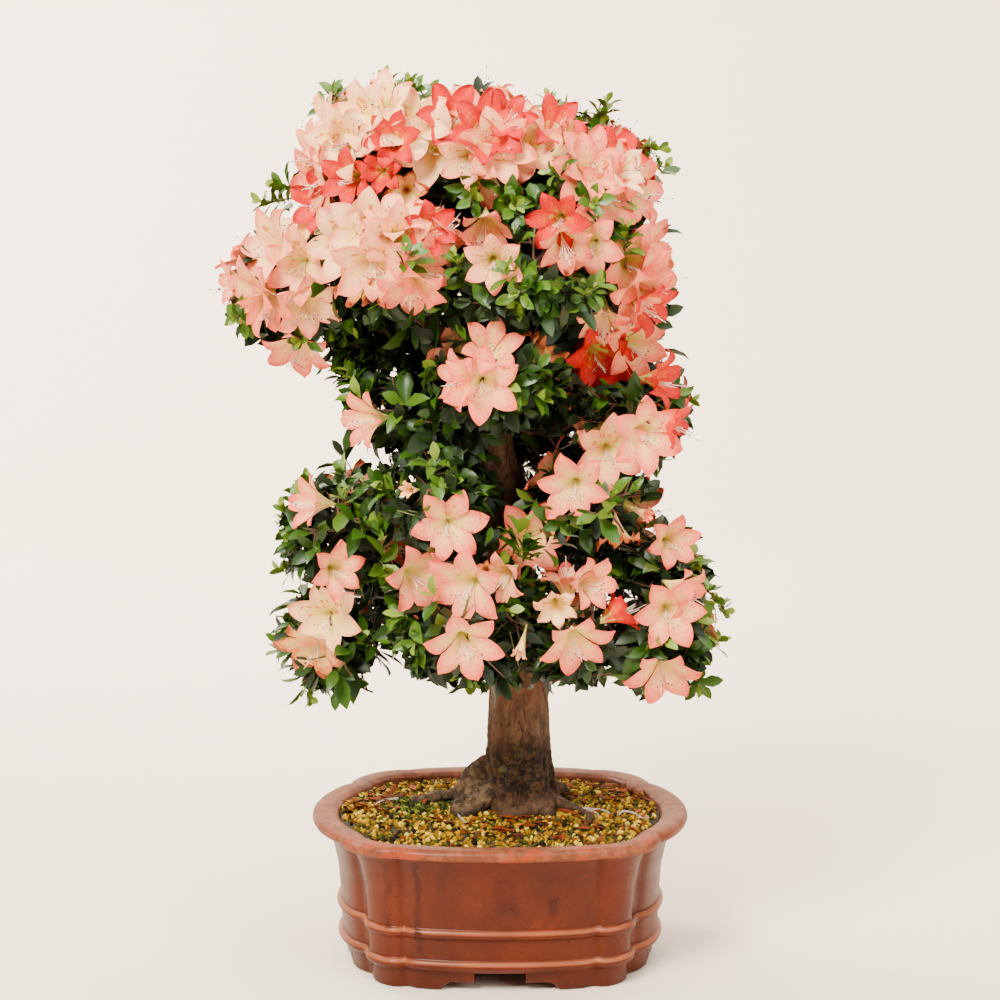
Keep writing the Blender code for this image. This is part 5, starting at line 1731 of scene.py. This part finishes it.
def whorl(name, tip, outward, chance, sprig=False):
    """Rows of base, direction, upper side, size and slot for the leaves at one twig's tip."""
    rows = []
    axis = unit(outward + np.array((chance.gauss(0, 0.25), chance.gauss(0, 0.25),
                                    WHORL_LIFT + chance.gauss(0, 0.2))))
    # Painted shade: leaves under foliage, facing down or deep in their mass get the shade and old tints.
    shade = max(cover(tip), UNDERSIDE_SHADE if outward[2] < UNDERSIDE_FROM else 0.0)
    deep = space_value(name, tip[None, :])[0] < INNER_BELOW
    inner = not sprig and (deep or chance.random() < shade)
    fresh = sprig or (not inner and chance.random() < FRESH_SHARE)
    first = unit(np.cross(axis, ASKEW))
    second = np.cross(axis, first)
    turn = chance.uniform(0, 2 * math.pi)
    count = chance.randint(*WHORL_LEAVES)
    for k in range(count):
        age = 1 - k / (count - 1)
        angle = turn + GOLDEN_TURN * k + chance.uniform(-0.2, 0.2)
        spread = math.radians(YOUNG_ANGLE + ADDED_ANGLE * age + chance.uniform(-9, 9))
        size = (YOUNG_SIZE + ADDED_SIZE * age) * chance.uniform(0.82, 1.14)
        size *= SPRIG_SIZE if sprig else 1.0
        across = math.cos(angle) * first + math.sin(angle) * second
        along = unit(math.cos(spread) * axis + math.sin(spread) * across)
        upper = unit(math.sin(spread) * axis - math.cos(spread) * across
                     + np.array((0.0, 0.0, 0.25)))
        base = tip - axis * WHORL_DEPTH * age
        if inner:
            slot = 0 if chance.random() < 0.6 else 1
        elif fresh:
            slot = 4 if age < 0.25 else (3 if age < 0.7 or chance.random() < 0.4 else 2)
        else:
            slot = 3 if age < 0.12 and chance.random() < 0.5 else chance.choice((1, 1, 2, 2, 0))
        rows.append((base, along, upper, size, slot))
    return rows


def cover(tip):
    """How far foliage hangs over a place, up to 1, which sets the chance that its leaves get painted
    shade.
    """
    above = tip + np.outer(COVER_HEIGHTS, (COVER_LEAN[0], COVER_LEAN[1], 1.0))
    values = np.min([space_value(name, above) for name in MASSES], axis=0)
    return float(np.mean(values < 0.9))


def clear_of_petals(points, blooms, corners):
    """True for each item whose listed corners leave the open mouth of every bloom free."""
    keep = np.ones(len(points), dtype=bool)
    feet = np.array([bloom["foot"] for bloom in blooms])
    faces = np.array([bloom["face"] for bloom in blooms])
    for corner in corners:
        for foot, face in zip(feet, faces):
            offset = points[:, corner] - foot
            ahead = offset @ face
            aside = np.linalg.norm(offset - ahead[:, None] * face, axis=1)
            reach = np.clip(MOUTH_FOOT + (ahead + TRUMPET_BACK) * MOUTH_FLARE, 0.0, MOUTH_RADIUS)
            keep &= ~((ahead > -TRUMPET_BACK) & (ahead < MOUTH_AHEAD) & (aside < reach))
    return keep


def leaf_arrays(rows, settings, rng):
    """Points of every leaf, the faces of one, and the leaves' slots, from the whorls' rows."""
    shape, faces = leaf_template()
    base, along, upper, size, slots = (np.array(column) for column in zip(*rows))
    upper = units(upper - along * np.sum(upper * along, axis=1, keepdims=True))
    side = np.cross(upper, along)
    length = size * settings.leaf_length
    width = size ** 0.7 * settings.leaf_width
    width = width * rng.uniform(0.85, 1.15, len(rows))
    bend = rng.uniform(0.3, 1.8, len(rows))
    scales = np.stack([length, width, length * bend], axis=1)
    axes = np.stack([along, side, upper], axis=1)
    points = base[:, None, :] + np.einsum("pk,nk,nkj->npj", shape, scales, axes)
    return points, faces, slots


def plant_box():
    """Lowest and highest corner of the solids, in the pot's frame."""
    return np.array(CAD_BOX[0]) - PLACE, np.array(CAD_BOX[1]) - PLACE


def in_box(points):
    """True for each item whose every point is inside the solids' box."""
    low, high = plant_box()
    return ((points > low) & (points < high)).all(axis=(1, 2))


class BONSAI_OT_leaves(bpy.types.Operator):
    """Builds the leaves, in whorls at the twigs' tips"""
    bl_idname = "bonsai.leaves"
    bl_label = "Leaves"

    def execute(self, context):
        grown = crown(context)
        settings = context.scene.bonsai_crown
        rng = np.random.default_rng(LEAF_SEED)
        chance = random.Random("leaves")
        rows = []
        for name, tip, outward in grown["tips"]:
            rows += whorl(name, tip, outward, chance)
        usual = len(rows)
        for name, tip, outward in grown["sprigs"]:
            rows += whorl(name, tip, outward, chance, sprig=True)
        points, faces, slots = leaf_arrays(rows, settings, rng)
        free = clear_of_petals(points, grown["blooms"], LEAF_MIDLINE)
        free[usual:] = True
        keep = in_box(points) & free
        points, slots = points[keep], slots[keep]
        upper = points.mean(axis=1)[:, 2] > LEAVES_SPLIT
        materials = [plain(name, colour, rough, gloss=LEAF_GLOSS) for name, colour, rough in LEAF_TINTS]
        for label, chosen in (("leaves_upper", upper), ("leaves_lower", ~upper)):
            parts = (*repeat_faces(points[chosen], faces), np.repeat(slots[chosen], len(faces)))
            add_joined(label, parts, materials)
        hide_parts(*["mass_" + name for name in MASSES])
        return {"FINISHED"}


# Blooms

PETAL_STATIONS = (0.0, 0.17, 0.33, 0.48, 0.60, 0.68, 0.75, 0.82, 0.88, 0.94, 1.0)
PETAL_ROWS = len(PETAL_STATIONS) - 1
PETAL_COLUMNS = 6
PETAL_FREE = 0.60
PETALS = 6
BLOOM_SEED = 17
PETAL_GLOSS, PETAL_SHEEN, PETAL_ROUGHNESS = 0.25, 0.15, 0.55

# Tints of each tone's petals, in four steps from the throat out to the point.
TONE_TINTS = {
    "cream": ((255, 222, 128), (255, 214, 146), (255, 196, 142), (254, 162, 116)),
    "shell": ((252, 210, 124), (255, 192, 134), (254, 166, 120), (252, 134, 98)),
    "pink": ((248, 200, 120), (252, 164, 114), (250, 132, 94), (246, 102, 76)),
    "coral": ((232, 92, 34), (224, 32, 8), (208, 12, 4), (188, 5, 3)),
    "withered": ((236, 196, 116), (238, 180, 98), (222, 130, 52), (170, 76, 24)),
}
THROAT = (232, 222, 110)
STAMEN = (246, 222, 200)
ANTHER = (74, 30, 28)
ANTHER_SIZE = (0.0006, 0.0006, 0.0012)

# Forms of the blooms: how wide they open, how deep they are, and how ruffled.
FORMS = {
    "star": (1.00, 1.00, 0.05), "half": (0.76, 1.22, 0.08),
    "crumpled": (0.60, 1.05, 0.30), "bud": (0.22, 1.30, 0.08),
}
TRUMPET_DEPTH = 0.029
STAMENS = 6
STAMEN_POINTS = 5
PISTIL_LENGTH = 1.42
STAMEN_RADII = (0.00045, 0.00035)

# Chance that a spot on a bloom's three upper petals is stained gold, by its tone.
STAINED = {"cream": 0.26, "shell": 0.18, "pink": 0.05}
UPPER_PETALS = (0, 1, 5)
STAIN_SPAN = (0.24, 0.56)
THROAT_END = 0.30
EDGE_STEP, UPPER_STEP = 0.22, 0.10
STEP_ENDS = (0.50, 0.68, 0.86)


def cubic(share, early, late, end):
    """A smooth rise from 0 to end, whose course early and late steer."""
    return 3 * share * (1 - share) ** 2 * early + 3 * share ** 2 * (1 - share) * late + share ** 3 * end


def petal_points(bloom, petal, chance, radius):
    """One petal's grid in the bloom's own frame: x outward, y across, z along its axis."""
    wide, deep, ruffle = FORMS[bloom["form"]]
    reach = radius * bloom["size"] * wide * chance.uniform(0.94, 1.06)
    depth = TRUMPET_DEPTH * bloom["size"] * deep * chance.uniform(0.95, 1.05)
    curl = chance.uniform(0.00, 0.16)
    v = np.array(PETAL_STATIONS)[:, None]
    u = np.linspace(-1, 1, PETAL_COLUMNS + 1)[None, :]
    out = cubic(v, 0.24, 0.70, 1.0) * reach + 0.0003 * (1 - v)
    rise = cubic(v, 0.62, 0.95 + curl, 1 - curl) * depth
    free = np.clip((v - PETAL_FREE) / (1 - PETAL_FREE), 0, 1)
    neck = np.interp(PETAL_FREE, v[:, 0], out[:, 0]) * math.sin(math.pi / 6)
    half = np.where(v < PETAL_FREE, out * math.sin(math.pi / 6),
                    neck * (1 + 0.30 * free) * (1 - free ** 1.30))
    across = np.maximum(half, 0.0004) * u
    sweep = np.arcsin(np.clip(across / np.maximum(out, 1e-6), -0.6, 0.6))
    inward = out * (1 - np.cos(sweep)) * (1 - 0.7 * free)
    phase = chance.uniform(0, 6.28)
    wave = ruffle * reach * np.sin(phase + 7 * v + 3.2 * u) * (0.15 + np.abs(u)) * free
    wave = wave + ruffle * reach * 0.5 * np.sin(phase * 2 + 5 * v) * free
    cup = 0.085 * reach * u ** 2 * (free * (1 - free) * 4) * chance.uniform(-0.5, 1.2)
    x = out - inward
    angle = petal * math.pi / 3 + chance.uniform(-0.05, 0.05) * free
    turned_x = x * np.cos(angle) - across * np.sin(angle)
    turned_y = x * np.sin(angle) + across * np.cos(angle)
    return np.stack([turned_x, turned_y, rise + wave + cup], axis=-1).reshape(-1, 3)


def petal_faces():
    """Triangles of one petal, and how far along and across it each of them is."""
    faces, zones = [], []
    width = PETAL_COLUMNS + 1
    for row in range(PETAL_ROWS):
        for column in range(PETAL_COLUMNS):
            a = row * width + column
            faces += [(a, a + 1, a + width + 1), (a, a + width + 1, a + width)]
            v = (PETAL_STATIONS[row] + PETAL_STATIONS[row + 1]) / 2
            u = abs((column + 0.5) / PETAL_COLUMNS * 2 - 1)
            zones += [(v, u), (v, u)]
    return np.array(faces), np.array(zones)


def zone_slots(zones, tone, petal, rng):
    """Slots of one petal's faces: the throat, then the tone's four steps out to the point."""
    v, u = zones[:, 0], zones[:, 1]
    out = v + EDGE_STEP * u + rng.uniform(-0.05, 0.05, len(v))
    if petal in UPPER_PETALS:
        out = out - UPPER_STEP * (1 - u)
    slots = tone_slot(tone, np.digitize(out, STEP_ENDS))
    if tone != "withered":
        slots = np.where(out < THROAT_END, 0, slots)
    if petal in UPPER_PETALS and tone in STAINED:
        low, high = STAIN_SPAN
        stained = (out > low) & (out < high) & (rng.random(len(v)) < STAINED[tone])
        slots = np.where(stained, tone_slot("withered", 2), slots)
    return slots


def tone_slot(tone, step):
    return 1 + 4 * TONES.index(tone) + step


def bloom_frame(face):
    """Up and side of a bloom that faces a direction, its first petal upward."""
    up = np.array((0.0, 0.0, 1.0))
    if abs(face[2]) > 0.95:
        up = np.array((0.0, 1.0, 0.0))
    up = unit(up - face * np.dot(up, face))
    return up, np.cross(face, up)


def stamen_paths(bloom, chance, up, side, face, foot):
    """Courses of the stamens and the pistil, which leave the throat and curve down."""
    paths = []
    wide, deep, _ = FORMS[bloom["form"]]
    for k in range(STAMENS + 1):
        if k < STAMENS:
            spread = (k - 2.5) / 2.5 * 0.30
            length = TRUMPET_DEPTH * deep * chance.uniform(0.95, 1.20)
        else:
            spread = chance.uniform(-0.1, 0.1)
            length = TRUMPET_DEPTH * deep * PISTIL_LENGTH
        droop = up * BLOOM_DEPTH * chance.uniform(0.15, 0.50) * wide
        end = foot + face * (length + 0.002) + side * spread * 0.030 * wide - droop
        bend = foot + face * length * 0.55 - droop * 0.95
        paths.append(bezier(foot + face * 0.003, bend, end, STAMEN_POINTS))
    return paths


def petal_materials():
    """The throat's finish, then the four steps of each tone."""
    materials = [plain("throat", THROAT, PETAL_ROUGHNESS)]
    for tone in TONES:
        sheen = 0.0 if tone == "coral" else PETAL_SHEEN
        for k, colour in enumerate(TONE_TINTS[tone]):
            materials.append(plain(f"{tone}_petal_{k}", colour, PETAL_ROUGHNESS, sheen, PETAL_GLOSS))
    return materials


class BONSAI_OT_blooms(bpy.types.Operator):
    """Builds the blooms: six-petalled stars, half-open trumpets and withered ones"""
    bl_idname = "bonsai.blooms"
    bl_label = "Blooms"

    def execute(self, context):
        radius = context.scene.bonsai_crown.bloom_radius
        rng = np.random.default_rng(BLOOM_SEED)
        chance = random.Random("blooms")
        faces, zones = petal_faces()
        groups = {"blooms_left": ([], []), "blooms_right": ([], []), "blooms_low": ([], [])}
        stamens = []
        low, high = plant_box()
        for bloom in crown(context)["blooms"]:
            face = bloom["face"]
            up, side = bloom_frame(face)
            turn = chance.uniform(-0.5, 0.5)
            up, side = (up * math.cos(turn) + side * math.sin(turn),
                        side * math.cos(turn) - up * math.sin(turn))
            axes = np.stack([up, side, face])
            foot = bloom["foot"] - face * TRUMPET_BACK
            label = "blooms_left" if bloom["foot"][0] < DOME_MIDDLE else "blooms_right"
            if bloom["foot"][2] < DOME_FOOT:
                label = "blooms_low"
            petals = np.array([foot + petal_points(bloom, petal, chance, radius) @ axes
                               for petal in range(PETALS)])
            inward = (np.minimum(0.0, high - petals.max(axis=(0, 1)))
                      + np.maximum(0.0, low - petals.min(axis=(0, 1))))
            groups[label][0].extend(petals + inward)
            groups[label][1].extend(zone_slots(zones, bloom["tone"], petal, rng)
                                    for petal in range(PETALS))
            if bloom["form"] in ("star", "half"):
                stamens += stamen_paths(bloom, chance, up, side, face, foot + inward)
        materials = petal_materials()
        for label, (petals, slots) in groups.items():
            parts = (*repeat_faces(np.array(petals), faces), np.concatenate(slots))
            add_joined(label, parts, materials)
        add_stamens(np.array(stamens), low, high)
        return {"FINISHED"}


def add_stamens(paths, low, high):
    """Threads with an anther on each end, kept just inside the plant's box."""
    heading = units(paths[:, -1] - paths[:, -2])
    places = np.clip(paths[:, -1], low + 0.002, high - 0.002)
    paths = np.clip(paths, low + 0.001, high - 0.001)
    radii = np.tile(np.linspace(*STAMEN_RADII, STAMEN_POINTS), (len(paths), 1))
    threads = many_tubes(paths, radii, 3)
    shape, faces = ball_template()
    first = units(np.cross(heading, (0.3, 0.8, 0.5)))
    axes = np.stack([first, np.cross(heading, first), heading], axis=1)
    local = np.einsum("pk,nkj->npj", shape * ANTHER_SIZE, axes)
    anthers = repeat_faces(local + places[:, None, :], faces)
    slots = np.repeat((0, 1), (len(threads[1]), len(anthers[1])))
    materials = [plain("stamen", STAMEN, 0.5), plain("anther", ANTHER, 0.7)]
    add_joined("stamens", (*stack([threads, anthers]), slots), materials)


# Stage

CAMERA_PITCH = math.radians(10.379)
CAMERA_LENS, CAMERA_SENSOR = 93.5, 36.0

# The floor and the wall behind it, in metres.
FLOOR_FRONT, FLOOR_BACK = -4.0, 2.2
SWEEP, SWEEP_STEPS = 1.2, 12
WALL_TOP = 5.0
HALF_WIDTH = 5.0
PAPER = (236, 220, 200)
EVEN_LIGHT, EVEN_STRENGTH = (1.0, 0.965, 0.93, 1.0), 0.20


class BONSAI_OT_stage(bpy.types.Operator):
    """Builds the pale floor and backdrop, the soft lights and the camera"""
    bl_idname = "bonsai.stage"
    bl_label = "Stage"

    def execute(self, context):
        add_backdrop()
        add_lights(context)
        camera_data = bpy.data.cameras.new("camera")
        camera_data.lens = CAMERA_LENS
        camera_data.sensor_width = CAMERA_SENSOR
        camera = add_object("camera", camera_data)
        camera.location = Vector(PLACE + np.array(CAMERA_PLACE))
        camera.rotation_euler = (math.pi / 2 - CAMERA_PITCH, 0.0, 0.0)
        context.scene.camera = camera
        return {"FINISHED"}


def add_backdrop():
    """A floor that sweeps up behind the plant in one curve."""
    profile = [(FLOOR_FRONT, 0.0), (FLOOR_BACK, 0.0)]
    for k in range(1, SWEEP_STEPS + 1):
        angle = math.pi / 2 * k / SWEEP_STEPS
        profile.append((FLOOR_BACK + SWEEP * math.sin(angle), SWEEP * (1 - math.cos(angle))))
    profile.append((FLOOR_BACK + SWEEP, WALL_TOP))
    points = [(side, y, z) for y, z in profile for side in (-HALF_WIDTH, HALF_WIDTH)]
    faces = [(k, k + 1, k + 3, k + 2) for k in range(0, len(points) - 2, 2)]
    mesh = joined_mesh("backdrop", points, faces)
    mesh.materials.append(plain("pale_paper", PAPER, 0.9))
    floor = add_object("backdrop", mesh)


# Lights: name, place, aim, size, power and colour.
LIGHTS = [
    ("key", (-1.2, -2.1, 2.8), (0.0, 0.0, 0.45), 1.1, 282.0, (1.0, 0.95, 0.885)),
    ("fill", (2.0, -1.8, 1.6), (0.0, 0.0, 0.45), 1.6, 66.0, (1.0, 0.96, 0.92)),
    ("top", (0.1, -0.3, 2.8), (0.0, 0.0, 0.45), 2.0, 95.0, (1.0, 0.97, 0.94)),
    ("backdrop_left", (-1.6, 1.4, 2.6), (-0.9, 3.2, 0.8), 1.6, 330.0, (1.0, 0.95, 0.89)),
    ("backdrop_right", (1.6, 1.4, 2.6), (0.9, 3.2, 0.8), 1.6, 128.0, (1.0, 0.93, 0.84)),
]


def add_lights(context):
    """A faint even light from all round, and the soft lights."""
    world = bpy.data.worlds.new("studio")
    world.use_nodes = True
    shade = world.node_tree.nodes["Background"]
    shade.inputs["Color"].default_value = EVEN_LIGHT
    shade.inputs["Strength"].default_value = EVEN_STRENGTH
    context.scene.world = world
    for name, place, aim, size, power, colour in LIGHTS:
        light = bpy.data.lights.new(name, "AREA")
        light.size = size
        light.energy = power
        light.color = colour
        lamp = add_object(name, light)
        lamp.location = place
        lamp.rotation_euler = (Vector(aim) - Vector(place)).to_track_quat("-Z", "Y").to_euler()


class BONSAI_PT_panel(bpy.types.Panel):
    """Lists the steps that build the bonsai"""
    bl_label = "Azalea Bonsai"
    bl_idname = "BONSAI_PT_panel"
    bl_space_type = "VIEW_3D"
    bl_region_type = "UI"
    bl_category = "Bonsai"

    def draw(self, context):
        for operator in OPERATORS:
            self.layout.operator(operator.bl_idname)


OPERATORS = (BONSAI_OT_pot, BONSAI_OT_soil, BONSAI_OT_wood, BONSAI_OT_twigs,
             BONSAI_OT_leaves, BONSAI_OT_blooms, BONSAI_OT_stage)
SETTINGS = {"bonsai_pot": BonsaiPotSettings, "bonsai_soil": BonsaiSoilSettings,
            "bonsai_wood": BonsaiWoodSettings, "bonsai_crown": BonsaiCrownSettings}


def register():
    for group in SETTINGS.values():
        bpy.utils.register_class(group)
    for operator in OPERATORS:
        bpy.utils.register_class(operator)
    bpy.utils.register_class(BONSAI_PT_panel)
    for name, group in SETTINGS.items():
        setattr(bpy.types.Scene, name, PointerProperty(type=group))


def unregister():
    for name in SETTINGS:
        delattr(bpy.types.Scene, name)
    bpy.utils.unregister_class(BONSAI_PT_panel)
    for operator in reversed(OPERATORS):
        bpy.utils.unregister_class(operator)
    for group in reversed(SETTINGS.values()):
        bpy.utils.unregister_class(group)


def main():
    register()
    bpy.ops.bonsai.pot()
    bpy.ops.bonsai.soil()
    bpy.ops.bonsai.wood()
    bpy.ops.bonsai.twigs()
    bpy.ops.bonsai.leaves()
    bpy.ops.bonsai.blooms()
    bpy.ops.bonsai.stage()
    bpy.context.view_layer.update()


if __name__ == "__main__":
    main()
